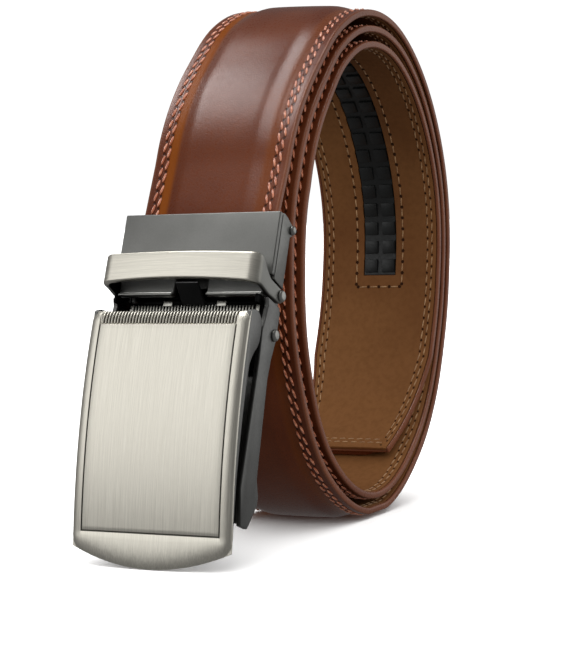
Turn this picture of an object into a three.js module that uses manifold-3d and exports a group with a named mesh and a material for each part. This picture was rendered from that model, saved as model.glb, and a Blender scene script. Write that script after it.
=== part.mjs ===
// Ratchet belt, wound into an upright coil with its buckle at the front.
//
// Millimetres. X runs across the strap, -Y is the front with the buckle and Z is up. The coil
// stands on its lowest turn and on the tip of the buckle's lid.

import * as THREE from 'three';
import { mergeVertices } from 'three/addons/utils/BufferGeometryUtils.js';
import Module from 'manifold-3d';

const wasm = await Module();
wasm.setup();

// Strap
const strapWidth = 35;
const leatherThickness = 0.9;
const liningThickness = 0.8;
const glueLine = 0.1;
const crownHeight = 1.2;
const edgeRounding = 0.3;
const liningInset = 0.2;
const facetLength = 5.8;
const tipWidth = 26;
const tipTaper = 32;

// Coil
const coilHeight = 127.4;
const lastTurn = 881.6;
const standFlat = 0.45;
const edgeFlare = 2;

// Ratchet track in the lining, measured from the tail's tip
const trackWidth = 9.1;
const trackLength = 196;
const trackFromTip = 58;
const trackClearance = 0.3;
const trackBase = 0.45;
const toothPitch = 5.3;
const toothLength = 3.7;
const toothWidth = 3.8;
const toothGap = 1.3;
const toothRise = 0.2;

// Buckle: its lid pin is its origin, at a share of half the coil's height from the coil's centre
const buckleLean = 21;
const lidPinAt = { y: -0.9592, z: -0.2072 };
const fit = 0.3;
const strapRoom = 1.5;
const sideThickness = 1.2;
const sideWidth = strapWidth + 2 * (strapRoom + sideThickness);
const lugThickness = 0.8;
const lugBottom = 2.8;
const pinRadius = 0.9;
const pinHeadRadius = 1.4;
const pinHeadHeight = 0.5;
const lugHalf = pinRadius + fit + lugThickness;
const loopPinY = 0.5;
const loopPinZ = 9.4;

// Clamp that holds the strap's cut end
const plateFront = -5.3;
const plateThickness = 1.4;
const plateTop = 27.8;
const plateStep = 12.8;
const plateBottom = 7.8;
const notchWidth = 8.6;
const notchHeight = 4.4;
const strapFace = -2.0;
const strapEnd = 14;
const jawY = 1.35;
const jawZ = 25.4;
const jawRadius = 1.25;
const jawNeckRadius = 0.7;
const jawHeadRadius = 1.1;
const wallBottom = 12;
const wallTop = 22;
const wallThickness = 0.8;

// Keeper loop
const barHeight = 6.4;
const barThickness = 1.6;
const barFront = -13.3;
const barBottom = 9.5;
const barBow = 1.4;
const barArch = 0.6;
const barRound = 0.5;

// Frame
const frameBottom = -44.1;
const floorThickness = 0.9;
const floorRear = -0.3;
const floorTop = -8;
const tabWidth = 2.4;
const tabSpacing = 14;
const tabThickness = 0.5;
const tabRise = 0.4;
const tabDepth = 0.9;

// Lid
const lidInset = 0.1;
const lidWidth = sideWidth - 2 * lidInset;
const lidLength = 53.08;
const lidThickness = 1.3;
const lidTopY = -13.1;
const lidTopZ = 1.8;
const lidSlope = 7.7;
const lidBow = 1.9;
const lidArc = 4.4;
const lidBevel = 0.7;
const lidFlange = 1.0;
const flangeDepthTop = 3.4;
const flangeDepthBottom = 1.5;

// Pawl bracket behind the lid
const bracketThickness = 0.8;
const bracketLength = 12;
const pawlWidth = 10;
const pawlDepth = 2.2;

// Spring tongue, from the frame's guide forward through the clamp plate's notch
const tongueWidth = 5.7;
const tongueThickness = 0.6;
const tongueFoot = 1.2;
const tongueBend = 3.8;
const tongueTipY = -7.2;
const tongueTipZ = 10.5;

const black = new THREE.MeshStandardMaterial({ color: 0x1c1e1e, roughness: 0.5, metalness: 0 });
const gunmetal = new THREE.MeshStandardMaterial({ color: 0x6e6e6b, roughness: 0.45, metalness: 0.9 });
const nickel = new THREE.MeshStandardMaterial({ color: 0xc9c5b8, roughness: 0.35, metalness: 0.95 });
const cognac = new THREE.MeshStandardMaterial({ color: 0x693a26, roughness: 0.45, metalness: 0 });
const tan = new THREE.MeshStandardMaterial({ color: 0x7a5532, roughness: 0.7, metalness: 0 });

// Solids: a geometry becomes a manifold solid for a cut or a join, and comes back as a geometry.
function solid(geometry) {
  const bare = geometry.clone();
  for (const name of ['normal', 'uv']) bare.deleteAttribute(name);
  const merged = mergeVertices(bare, 1e-4);
  const mesh = new wasm.Mesh({
    numProp: 3,
    vertProperties: new Float32Array(merged.attributes.position.array),
    triVerts: new Uint32Array(merged.index.array),
  });
  return new wasm.Manifold(mesh);
}

function surface(body) {
  const mesh = body.getMesh();
  const geometry = new THREE.BufferGeometry();
  geometry.setAttribute('position', new THREE.BufferAttribute(new Float32Array(mesh.vertProperties), 3));
  geometry.setIndex(new THREE.BufferAttribute(new Uint32Array(mesh.triVerts), 1));
  const flat = geometry.toNonIndexed();
  flat.computeVertexNormals();
  return flat;
}

const join = (...geometries) => geometries.map(solid).reduce((whole, next) => whole.add(next));
const cut = (body, ...geometries) => geometries.map(solid).reduce((rest, next) => rest.subtract(next), body);

// A profile of [y, z] points, extruded across the buckle from x0 to x1.
function across(points, x0, x1) {
  const shape = new THREE.Shape(points.map(([y, z]) => new THREE.Vector2(y, z)));
  const geometry = new THREE.ExtrudeGeometry(shape, { depth: x1 - x0, bevelEnabled: false });
  const turned = new THREE.Matrix4().makeBasis(
    new THREE.Vector3(0, 1, 0), new THREE.Vector3(0, 0, 1), new THREE.Vector3(1, 0, 0));
  return geometry.applyMatrix4(turned.setPosition(x0, 0, 0));
}

// The same profile on both sides, with its outer face at half the given width.
function bothSides(points, outerWidth, thickness) {
  const half = outerWidth / 2;
  return [across(points, half - thickness, half), across(points, -half, thickness - half)];
}

// A profile of [x, z] points, extruded from y0 back to y1.
function upright(points, y0, y1) {
  const shape = new THREE.Shape(points.map(([x, z]) => new THREE.Vector2(x, z)));
  const geometry = new THREE.ExtrudeGeometry(shape, { depth: y1 - y0, bevelEnabled: false });
  const turned = new THREE.Matrix4().makeBasis(
    new THREE.Vector3(1, 0, 0), new THREE.Vector3(0, 0, 1), new THREE.Vector3(0, -1, 0));
  return geometry.applyMatrix4(turned.setPosition(0, y1, 0));
}

function box(x0, x1, y0, y1, z0, z1) {
  return new THREE.BoxGeometry(x1 - x0, y1 - y0, z1 - z0)
    .translate((x0 + x1) / 2, (y0 + y1) / 2, (z0 + z1) / 2);
}

// A bar of revolution along X: rows of [x, radius] on its +X half, mirrored to the other.
function turnedBar(rows, y, z) {
  const half = rows.map(([x, radius]) => new THREE.Vector2(radius, x));
  const mirrored = half.map((point) => new THREE.Vector2(point.x, -point.y)).reverse();
  const profile = [...mirrored, ...half];
  return new THREE.LatheGeometry(profile, 12).rotateZ(-Math.PI / 2).translate(0, y, z);
}

const hole = (radius, y, z) => turnedBar([[sideWidth, radius], [sideWidth, 0]], y, z);

function pin(y, z) {
  const shoulder = sideWidth / 2 + fit;
  const end = shoulder + pinHeadHeight;
  return turnedBar([
    [shoulder, pinRadius], [shoulder, pinHeadRadius], [end, pinHeadRadius * 0.8], [end, 0]], y, z);
}

// Value at a place between rows of a table, on a smooth curve through all of them.
function smooth(rows, key, value, at) {
  let i = rows.findIndex((row) => row[key] > at) - 1;
  if (i < 0) i = at < rows[0][key] ? 0 : rows.length - 2;
  const slope = (j) => {
    const [a, b] = [rows[Math.max(j - 1, 0)], rows[Math.min(j + 1, rows.length - 1)]];
    return (b[value] - a[value]) / (b[key] - a[key]);
  };
  const [from, to] = [rows[i], rows[i + 1]];
  const span = to[key] - from[key];
  const t = (at - from[key]) / span;
  return THREE.MathUtils.lerp(from[value], to[value], t * t * (3 - 2 * t))
    + span * (t * (1 - t) ** 2 * slope(i) - t * t * (1 - t) * slope(i + 1));
}

// The coil's outline, as the distance from its centre in shares of half its height. Turn is in
// degrees: 0 at the top, 90 at the back, 180 at the foot and 270 at the front, one turn further in.
const outline = [
  { turn: -60, share: 0.835 }, { turn: -30, share: 0.897 }, { turn: -15, share: 0.962 },
  { turn: 0, share: 1.012 }, { turn: 15, share: 1.026 }, { turn: 30, share: 0.999 },
  { turn: 60, share: 0.908 }, { turn: 90, share: 0.828 }, { turn: 105, share: 0.817 },
  { turn: 120, share: 0.830 }, { turn: 150, share: 0.909 }, { turn: 180, share: 0.978 },
  { turn: 210, share: 0.906 }, { turn: 240, share: 0.785 }, { turn: 270, share: 0.725 },
  { turn: 300, share: 0.743 },
];

// Distance from one turn to the next: close at the back, loose at the front.
const spacing = [
  { turn: -90, pitch: 6 }, { turn: -60, pitch: 5.9 }, { turn: -30, pitch: 4.8 },
  { turn: 0, pitch: 4 }, { turn: 45, pitch: 3.6 }, { turn: 90, pitch: 3.3 },
  { turn: 135, pitch: 3.5 }, { turn: 180, pitch: 3.9 }, { turn: 225, pitch: 5.2 },
  { turn: 270, pitch: 6 },
];

// How far the first turn's far edge stands out from its near edge, in shares of the edge's flare.
const flare = [
  { turn: -120, share: 0 }, { turn: -76, share: 0 }, { turn: -60, share: 0.4 },
  { turn: -20, share: 1 }, { turn: 10, share: 0.7 }, { turn: 60, share: 0.2 },
  { turn: 100, share: 0 }, { turn: 180, share: 0 },
];

function coilRadius(turn) {
  const lastRow = outline[outline.length - 1].turn;
  if (turn <= lastRow) return smooth(outline, 'turn', 'share', turn) * coilHeight / 2;
  const around = THREE.MathUtils.euclideanModulo(turn + 90, 360) - 90;
  return coilRadius(turn - 360) - smooth(spacing, 'turn', 'pitch', around);
}

const buckle = new THREE.Group();
buckle.position.set(0, lidPinAt.y * coilHeight / 2, lidPinAt.z * coilHeight / 2);
buckle.rotation.x = -THREE.MathUtils.degToRad(buckleLean);
buckle.updateMatrixWorld(true);

// Route of the strap's outer face: straight in the clamp, then round the coil.
function strapRoute() {
  const points = [strapEnd, (strapEnd + plateTop) / 2, plateTop]
    .map((z) => new THREE.Vector3(0, strapFace, z).applyMatrix4(buckle.matrixWorld));
  const coil = [];
  for (let turn = outline[0].turn; turn <= lastTurn; turn += 2.5) {
    const angle = THREE.MathUtils.degToRad(turn);
    coil.push(new THREE.Vector3(0, coilRadius(turn) * Math.sin(angle), coilRadius(turn) * Math.cos(angle)));
  }
  const foot = Math.min(...coil.map((point) => point.z)) + standFlat;
  for (const point of coil) point.z = Math.max(point.z, foot);
  const curve = new THREE.CatmullRomCurve3([...points, ...coil], false, 'centripetal');
  curve.arcLengthDivisions = 3000;
  return curve;
}

const route = strapRoute();
const strapLength = route.getLength();
const facets = Math.round(strapLength / facetLength);
const step = strapLength / facets;
const stations = Array.from({ length: facets + 1 }, (_, i) => {
  const point = route.getPointAt(i / facets);
  const tangent = route.getTangentAt(i / facets);
  const turn = THREE.MathUtils.radToDeg(Math.atan2(point.y, point.z));
  const onFirstTurn = i * step < coilHeight * 1.5;
  const lift = onFirstTurn ? edgeFlare * smooth(flare, 'turn', 'share', turn) : 0;
  return { point, out: new THREE.Vector3(0, -tangent.z, tangent.y), lift };
});

// A point of the strap: x across it, then how far along it and how far out from its face.
function onStrap(x, along, out) {
  const i = Math.min(Math.floor(along / step + 1e-6), facets - 1);
  const farShare = 0.5 - x / strapWidth;
  const place = (station) => station.point.clone()
    .addScaledVector(station.out, out + station.lift * farShare);
  return place(stations[i]).lerp(place(stations[i + 1]), along / step - i).setX(x);
}

const tipStart = strapLength - tipTaper;
function halfWidth(along) {
  const taper = Math.max(0, along - tipStart) / tipTaper;
  return THREE.MathUtils.lerp(strapWidth / 2, tipWidth / 2, taper);
}

// A closed band along the strap. Each column across it has its x, its face and its back.
function band(columns, from, to, width = () => 1) {
  const stops = [from];
  for (let i = 0; i <= facets; i += 1) {
    if (i * step > from + 0.05 && i * step < to - 0.05) stops.push(i * step);
  }
  stops.push(to);
  if (tipStart > from && tipStart < to) stops.push(tipStart);
  stops.sort((a, b) => a - b);
  const spans = columns.length - 1;
  const geometry = new THREE.BoxGeometry(spans, stops.length - 1, 1, spans, stops.length - 1, 1);
  const position = geometry.attributes.position;
  for (let i = 0; i < position.count; i += 1) {
    const column = columns[Math.round(position.getX(i) + spans / 2)];
    const along = stops[Math.round(position.getY(i) + (stops.length - 1) / 2)];
    const out = position.getZ(i) > 0 ? column.face : column.back;
    const point = onStrap(column.x * width(along), along, out);
    position.setXYZ(i, point.x, point.y, point.z);
  }
  return geometry;
}

function addMesh(parent, name, body, material) {
  const mesh = new THREE.Mesh(body.isBufferGeometry ? body : surface(body), material);
  mesh.name = name;
  parent.add(mesh);
}

// Strap: an outer leather with a padded middle, and a flat lining with a window for the track
const leatherSection = [
  { x: -1, face: -edgeRounding }, { x: -0.97, face: 0 }, { x: -0.72, face: 0.05 },
  { x: -0.45, face: crownHeight }, { x: 0.45, face: crownHeight }, { x: 0.72, face: 0.05 },
  { x: 0.97, face: 0 }, { x: 1, face: -edgeRounding },
].map((column) => ({ ...column, back: -leatherThickness }));
const liningFace = -leatherThickness - glueLine;
const liningBack = liningFace - liningThickness;
const flatSection = (x, face, back) => [{ x: -x, face, back }, { x, face, back }];

const trackEnd = strapLength - trackFromTip;
const trackStart = trackEnd - trackLength;
const windowHalf = trackWidth / 2 + trackClearance;
const liningHalf = (along) => halfWidth(along) - liningInset;
const lining = band(flatSection(1, liningFace, liningBack), 0, strapLength, liningHalf);
const windowCut = band(flatSection(windowHalf, liningFace + glueLine / 2, liningBack - 1),
  trackStart - trackClearance, trackEnd + trackClearance);

// Ratchet track: two columns of teeth on a thin strip
const trackFace = liningFace - glueLine / 2;
const trackFloor = trackFace - trackBase;
const toothTop = liningBack - toothRise;
const strip = band(flatSection(trackWidth / 2, trackFace, trackFloor), trackStart, trackEnd);
const teeth = [];
const toothRows = Math.floor((trackLength - toothLength) / toothPitch) + 1;
for (let row = 0; row < toothRows; row += 1) {
  const end = trackEnd - 0.6 - row * toothPitch;
  if (end - toothLength < trackStart) break;
  for (const side of [-1, 1]) {
    const [near, far] = [toothGap / 2, toothGap / 2 + toothWidth].map((x) => x * side).sort((a, b) => a - b);
    const columns = [near, far].map((x) => ({ x, face: trackFloor + trackBase / 3, back: toothTop }));
    teeth.push(band(columns, end - toothLength, end));
  }
}

const belt = new THREE.Group();
addMesh(belt, 'strap_leather', band(leatherSection, 0, strapLength, halfWidth), cognac);
addMesh(belt, 'strap_lining', cut(solid(lining), windowCut), tan);
addMesh(belt, 'ratchet_track', join(strip, ...teeth), black);

// Clamp: front plate, cheeks with a rear wall, and the jaw bar that bites the strap
const sideHalf = sideWidth / 2;
const insideHalf = sideHalf - sideThickness;
const lowerHalf = insideHalf - fit;
const clampPlate = upright([
  [-sideHalf, plateTop - 0.6], [-sideHalf + 0.6, plateTop], [sideHalf - 0.6, plateTop],
  [sideHalf, plateTop - 0.6], [sideHalf, plateStep], [lowerHalf, plateStep], [lowerHalf, plateBottom],
  [notchWidth / 2, plateBottom], [notchWidth / 2, plateBottom + notchHeight],
  [-notchWidth / 2, plateBottom + notchHeight], [-notchWidth / 2, plateBottom],
  [-lowerHalf, plateBottom], [-lowerHalf, plateStep], [-sideHalf, plateStep],
].reverse(), plateFront, plateFront + plateThickness);
addMesh(buckle, 'clamp_plate', clampPlate, gunmetal);

const cheekFront = plateFront + plateThickness + fit;
const strapThickness = leatherThickness + glueLine + liningThickness;
const wallRear = strapFace + strapThickness + fit + wallThickness;
const cheek = [
  [cheekFront, plateTop - 0.2], [cheekFront + 0.6, plateTop + 0.2], [cheekFront + 2.4, plateTop - 0.2],
  [jawY - 1.0, jawZ + 1.5], [jawY + 0.7, jawZ + 1.1], [jawY + 1.2, jawZ], [jawY + 0.7, jawZ - 1.1],
  [wallRear, jawZ - 1.9], [wallRear, plateStep - 1.6], [cheekFront, plateStep - 0.7],
];
const frameLugOuter = 2 * (insideHalf - fit);
const clampLugOuter = frameLugOuter - 2 * (lugThickness + fit);
const lug = (bottom, top) => [
  [loopPinY - lugHalf, bottom], [loopPinY + lugHalf, bottom],
  [loopPinY + lugHalf, top], [loopPinY - lugHalf, top]];
const clampBody = cut(
  join(
    ...bothSides(cheek, sideWidth, sideThickness),
    box(-insideHalf - 0.2, insideHalf + 0.2, wallRear - wallThickness, wallRear, wallBottom, wallTop),
    ...bothSides(lug(loopPinZ - lugHalf, wallBottom + lugThickness), clampLugOuter, lugThickness),
  ),
  hole(pinRadius + fit, loopPinY, loopPinZ),
  hole(jawNeckRadius + fit, jawY, jawZ),
);
addMesh(buckle, 'clamp_body', clampBody, gunmetal);

const jawShoulder = insideHalf - fit;
const jawEnd = sideHalf + fit + pinHeadHeight;
const jawBar = turnedBar([
  [jawShoulder, jawRadius], [jawShoulder, jawNeckRadius], [sideHalf + fit, jawNeckRadius],
  [sideHalf + fit, jawHeadRadius], [jawEnd, jawHeadRadius * 0.8], [jawEnd, 0]], jawY, jawZ);
addMesh(buckle, 'clamp_jaw', jawBar, gunmetal);

// Keeper loop: a bowed bar and two arms back to the loop pin
function loopBar() {
  const geometry = new THREE.BoxGeometry(sideWidth, barThickness, barHeight, 12, 3, 4);
  const position = geometry.attributes.position;
  for (let i = 0; i < position.count; i += 1) {
    const [x, y, z] = [position.getX(i), position.getY(i), position.getZ(i)];
    const atEdge = Math.abs(z) > barHeight / 2 - 0.01 && Math.abs(y) > barThickness / 2 - 0.01;
    const end = Math.max(0, Math.abs(x) - sideWidth / 2 + 0.01) > 0 && y < 0 ? barRound : 0;
    const aside = (x / (sideWidth / 2)) ** 2;
    position.setY(i, y + barBow * aside + end + (atEdge ? -Math.sign(y) * barRound / 2 : 0));
    position.setZ(i, z - barArch * aside * (0.5 - z / barHeight));
  }
  return geometry.translate(0, barFront + barThickness / 2, barBottom + barHeight / 2);
}
const armTop = plateStep - 0.7 - fit;
const barEnd = barFront + barBow;
const arm = [
  [barEnd + 0.6, barBottom - barArch + 0.5], [barEnd + 3.2, barBottom - 0.3], [plateFront, loopPinZ - 1.3],
  [loopPinY + 0.3, loopPinZ - 2.1], [loopPinY + 1.2, loopPinZ - 1.2], [loopPinY + 1.6, loopPinZ],
  [loopPinY + 1.2, loopPinZ + 1], [loopPinY + 0.3, armTop - 1.3], [plateFront, armTop - 0.1],
  [barEnd + 2.4, barBottom + barHeight - 0.4], [barEnd + 0.6, barBottom + barHeight - 0.5],
];
addMesh(buckle, 'keeper_loop', cut(
  join(loopBar(), ...bothSides(arm, sideWidth - 0.02, sideThickness)),
  hole(pinRadius + fit, loopPinY, loopPinZ),
), nickel);

// Frame: two side plates, a floor behind the tail's passage, a guide that carries the floor on past
// the lid pin, two tabs on the guide, and lugs up to the loop pin
const frameTop = loopPinZ - 2.1 - 0.6;
const guideRear = -(pinRadius + fit);
const guideFront = guideRear - floorThickness;
const guideTop = loopPinZ - lugHalf - fit;
const guideHalf = insideHalf - 2 * fit - lugThickness;
const tab = (x) => box(x - tabWidth / 2, x + tabWidth / 2, guideFront - tabThickness, guideFront + 0.2,
  guideTop - tabDepth, guideTop + tabRise);
const sidePlate = [
  [plateFront - 0.1, frameTop + 0.7], [-4.6, frameTop - 1.2], [-5.0, 3], [-5.8, -0.4], [-5.3, -7],
  [-5.4, frameBottom + 8], [-3, frameBottom], [0.2, frameBottom], [1.8, frameBottom + 3],
  [3.3, frameBottom + 6], [3.2, frameBottom + 8], [1.5, frameBottom + 11.4], [1, -26], [-0.2, -10.3],
  [0.2, -5.6], [1.3, -0.6], [1.2, frameTop - 1.2], [0.7, frameTop],
];
const frameBody = cut(
  join(
    ...bothSides(sidePlate, sideWidth, sideThickness),
    box(-insideHalf - 0.2, insideHalf + 0.2, floorRear - floorThickness, floorRear,
      frameBottom + 1, floorTop),
    box(-guideHalf, guideHalf, guideFront, floorRear, floorTop - 1, floorTop - 0.1),
    box(-guideHalf, guideHalf, guideFront, guideRear, floorTop - 0.6, guideTop),
    tab(-tabSpacing / 2),
    tab(tabSpacing / 2),
    ...bothSides(lug(lugBottom, loopPinZ + lugHalf)
      .map(([y, z]) => [Math.max(y, loopPinY - 1.5), z]), frameLugOuter, lugThickness),
    ...bothSides(lug(lugBottom, frameTop - 0.6).map(([y, z]) => [Math.min(Math.max(y, -1), 1), z]),
      sideWidth - 0.4, sideThickness + fit + 0.5),
  ),
  hole(pinRadius + fit, loopPinY, loopPinZ),
  hole(pinRadius + fit, 0, 0),
);
addMesh(buckle, 'buckle_frame', frameBody, gunmetal);

// Lid: a bowed plate with an arched foot, bevelled edges and side flanges
const slope = THREE.MathUtils.degToRad(lidSlope);
const lidDown = new THREE.Vector2(Math.sin(slope), -Math.cos(slope));
const lidOut = new THREE.Vector2(-Math.cos(slope), -Math.sin(slope));
function onLid(share, length, inward) {
  return new THREE.Vector2(lidTopY, lidTopZ).addScaledVector(lidDown, share * length)
    .addScaledVector(lidOut, lidBow * 4 * share * (1 - share) - inward);
}

function lidPlate() {
  const rim = 1 - 2 * lidBevel / lidWidth;
  const columns = [-1, -rim, -0.72, -0.36, 0, 0.36, 0.72, rim, 1];
  const rows = 12;
  const spans = columns.length - 1;
  const geometry = new THREE.BoxGeometry(spans, 1, rows, spans, 1, rows);
  const position = geometry.attributes.position;
  for (let i = 0; i < position.count; i += 1) {
    const column = Math.round(position.getX(i) + spans / 2);
    const row = Math.round(rows / 2 - position.getZ(i));
    const atRim = column === 0 || column === spans || row === 0 || row === rows;
    const front = position.getY(i) < 0;
    const x = columns[column];
    const length = lidLength + lidArc * (1 - x * x);
    const shares = [0, lidBevel / lidLength, 1 - lidBevel / lidLength, 1];
    const share = row < 2 ? shares[row] : row > rows - 2 ? shares[row - rows + 3] : (row - 1) / (rows - 2);
    const point = onLid(share, length, front ? (atRim ? lidBevel : 0) : lidThickness);
    position.setXYZ(i, x * lidWidth / 2, point.x, point.y);
  }
  return geometry;
}

const flange = [];
for (let share = 0.03; share < 0.96; share += 0.115) flange.push(onLid(share, lidLength, lidThickness / 2));
for (let share = 0.95; share > 0.28; share -= 0.13) {
  const depth = THREE.MathUtils.lerp(flangeDepthTop, flangeDepthBottom, (share - 0.28) / 0.67);
  flange.push(onLid(share, lidLength, depth));
}
const lobeRear = -5.8 - fit;
const flangePoints = [
  ...flange.map((point) => [point.x, point.y]),
  [lobeRear - 3.2, -9.5], [lobeRear - 1.9, -6.5], [lobeRear - 0.3, -4], [lobeRear, -0.8],
  [lobeRear - 0.4, lidTopZ - 0.6], [lobeRear - 1.5, lidTopZ + 1.1], [lobeRear - 2.9, lidTopZ + 2.0],
  [lobeRear - 4.9, lidTopZ + 1.7], [lobeRear - 6.2, lidTopZ + 0.9],
];
addMesh(buckle, 'lid', join(lidPlate(), ...bothSides(flangePoints, lidWidth - 0.02, lidFlange)), nickel);

// Pawl bracket: a cross plate behind the lid, ears back to the lid pin, and a pawl
const lidBackAt = (share) => onLid(share, lidLength, lidThickness).x;
const bracketFront = Math.max(lidBackAt(0), lidBackAt(1.2 * bracketLength / lidLength)) + fit;
const bracketRear = bracketFront + bracketThickness;
const earOuter = 2 * (insideHalf - fit);
const bracketTop = lidTopZ - 1.2;
const ear = [
  [bracketFront, bracketTop], [-1, pinRadius + 1.1], [1.3, 1.3], [2, 0], [1.3, -1.3], [0, -2], [-4, -5],
  [bracketFront + 0.4, -9],
];
const bracket = cut(
  join(
    box(-earOuter / 2, earOuter / 2, bracketFront, bracketRear, bracketTop - bracketLength, bracketTop),
    ...bothSides(ear, earOuter - 0.02, lugThickness),
    across([[bracketRear - 0.3, -5.5], [bracketRear - 0.3, -10.5], [bracketRear + pawlDepth, -9]],
      -pawlWidth / 2, pawlWidth / 2),
  ),
  hole(pinRadius + fit, 0, 0),
);
addMesh(buckle, 'pawl_bracket', bracket, black);

// Spring tongue: up the guide, then forward through the notch to behind the keeper loop
const tongueSeat = guideFront - fit;
const tongueRun = new THREE.Vector2(tongueTipY - tongueSeat, tongueTipZ - tongueBend).normalize();
const tongueFace = new THREE.Vector2(-tongueRun.y, tongueRun.x).multiplyScalar(tongueThickness);
const tongue = [
  [tongueTipY + tongueFace.x, tongueTipZ + tongueFace.y],
  [tongueSeat - tongueThickness, tongueBend + tongueFace.y / 2], [tongueSeat - tongueThickness, tongueFoot],
  [tongueSeat, tongueFoot], [tongueSeat, tongueBend], [tongueTipY, tongueTipZ],
];
addMesh(buckle, 'spring_tongue', across(tongue, -tongueWidth / 2, tongueWidth / 2), black);

addMesh(buckle, 'loop_pin', pin(loopPinY, loopPinZ), gunmetal);
addMesh(buckle, 'lid_pin', pin(0, 0), gunmetal);

// The origin is at the middle of the whole belt's footprint
belt.add(buckle);
const size = new THREE.Box3().setFromObject(belt, true);
belt.position.set(0, -(size.min.y + size.max.y) / 2, -size.min.z);
const group = new THREE.Group();
group.add(belt);

export default group;
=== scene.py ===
# %% [markdown]
# # A leather ratchet belt, rolled up
#
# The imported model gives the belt's true solids: a rolled strap, a toothed track and a metal buckle.
# This notebook dresses them. Each visible part is modelled again with its fine shape, in the same
# place, and gets a finish made of shader nodes. Lengths are in millimetres until a piece is seated,
# because a belt maker thinks in millimetres, and one matrix then brings each piece to metres.

# %% Load the frame
import math

import bpy
import numpy as np
from mathutils import Matrix, Vector


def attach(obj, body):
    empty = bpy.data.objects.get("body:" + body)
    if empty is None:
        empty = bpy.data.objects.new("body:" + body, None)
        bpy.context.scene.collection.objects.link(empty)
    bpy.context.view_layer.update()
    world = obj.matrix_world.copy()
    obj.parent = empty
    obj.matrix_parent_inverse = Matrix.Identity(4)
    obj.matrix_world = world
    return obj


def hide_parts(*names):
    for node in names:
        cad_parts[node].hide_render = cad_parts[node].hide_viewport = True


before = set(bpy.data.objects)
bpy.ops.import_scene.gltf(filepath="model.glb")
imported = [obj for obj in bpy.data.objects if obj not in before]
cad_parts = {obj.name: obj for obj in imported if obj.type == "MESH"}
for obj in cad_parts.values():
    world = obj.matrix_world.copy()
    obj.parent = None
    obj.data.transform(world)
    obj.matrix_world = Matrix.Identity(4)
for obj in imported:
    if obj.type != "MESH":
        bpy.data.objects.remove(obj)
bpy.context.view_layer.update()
print("solids:", ", ".join(sorted(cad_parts)))

# %% [markdown]
# ## The camera
#
# The photograph was taken with a long lens, a little right of the buckle and just above the table.
# The three directions are the camera's right, up and forward, worked out from the strap's rims.
# They go straight into the camera's matrix, so the framing doesn't depend on a tracking constraint.

# %% Camera
PHOTO = (569, 657)
right = Vector((0.894831, 0.445577, -0.027188))
up = Vector((-0.000508, 0.061919, 0.998081))
forward = Vector((-0.446405, 0.893100, -0.055634))
camera_data = bpy.data.cameras.new("photo_camera")
camera = bpy.data.objects.new("photo_camera", camera_data)
bpy.context.scene.collection.objects.link(camera)
camera.matrix_world = Matrix.Translation((0.21766, -0.43539, 0.07574)) @ Matrix(
    (right, up, -forward)).transposed().to_4x4()
camera_data.sensor_fit = "VERTICAL"
camera_data.sensor_height = 36
camera_data.lens = 1958.88 / PHOTO[1] * camera_data.sensor_height
camera_data.clip_start = 0.01
bpy.context.scene.camera = camera
print("lens", round(camera_data.lens, 1), "mm")

# %% [markdown]
# ## The strap's route
#
# The strap runs straight through the clamp and then two and a half times round the coil. Its outer
# face is given as a distance from the coil's centre at each turn, as on the solid part: 0 degrees is
# the top, 90 the back, 180 the foot and 270 the front. A smooth curve through the points, sampled
# every half millimetre, tells where any length along the strap lies and which way is outwards.

# %% Sizes of the strap and the coil
STRAP_WIDTH, LEATHER, LINING, CROWN = 35.0, 0.9, 0.8, 1.2
TIP_WIDTH, TIP_TAPER = 26.0, 32.0
COIL_HEIGHT, LAST_TURN, STAND_FLAT, EDGE_FLARE = 127.4, 881.6, 0.45, 2.0
OUTLINE = {-60: 0.835, -30: 0.897, -15: 0.962, 0: 1.012, 15: 1.026, 30: 0.999, 60: 0.908,
           90: 0.828, 105: 0.817, 120: 0.830, 150: 0.909, 180: 0.978, 210: 0.906, 240: 0.785,
           270: 0.725, 300: 0.743}
SPACING = {-90: 6, -60: 5.9, -30: 4.8, 0: 4, 45: 3.6, 90: 3.3, 135: 3.5, 180: 3.9, 225: 5.2, 270: 6}
FLARE = {-120: 0, -76: 0, -60: 0.4, -20: 1, 10: 0.7, 60: 0.2, 100: 0, 180: 0}
BUCKLE_LEAN = 21.0
LID_PIN = (0.0, -0.95918 * COIL_HEIGHT / 2, -0.20722 * COIL_HEIGHT / 2)
MM = Matrix.Scale(0.001, 4)
COIL_CENTRE = Matrix.Translation((0, 0.01559, 0.063061)) @ MM
BUCKLE = COIL_CENTRE @ Matrix.Translation(LID_PIN) @ Matrix.Rotation(math.radians(-BUCKLE_LEAN), 4, "X")


# %% Smooth values between the rows of a table
def smooth(rows, at):
    """The value at a place between a table's rows, on a curve through all of them."""
    keys = list(rows)
    i = next((n for n, key in enumerate(keys) if key > at), len(keys)) - 1
    i = min(max(i, 0), len(keys) - 2)

    def slope(j):
        a, b = keys[max(j - 1, 0)], keys[min(j + 1, len(keys) - 1)]
        return (rows[b] - rows[a]) / (b - a)

    span = keys[i + 1] - keys[i]
    t = (at - keys[i]) / span
    step = t * t * (3 - 2 * t)
    level = rows[keys[i]] + (rows[keys[i + 1]] - rows[keys[i]]) * step
    return level + span * (t * (1 - t) ** 2 * slope(i) - t * t * (1 - t) * slope(i + 1))


def coil_radius(turn):
    """Distance of the outer face from the coil's centre, each turn inside the one before."""
    if turn <= 300:
        return smooth(OUTLINE, turn) * COIL_HEIGHT / 2
    return coil_radius(turn - 360) - smooth(SPACING, (turn + 90) % 360 - 90)


# %% Points of the route
def buckle_point(y, z):
    """A point on the buckle's middle plane, seen from the coil's centre."""
    spot = BUCKLE @ Vector((0, y, z))
    spot = COIL_CENTRE.inverted() @ spot
    return spot.y, spot.z


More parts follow.
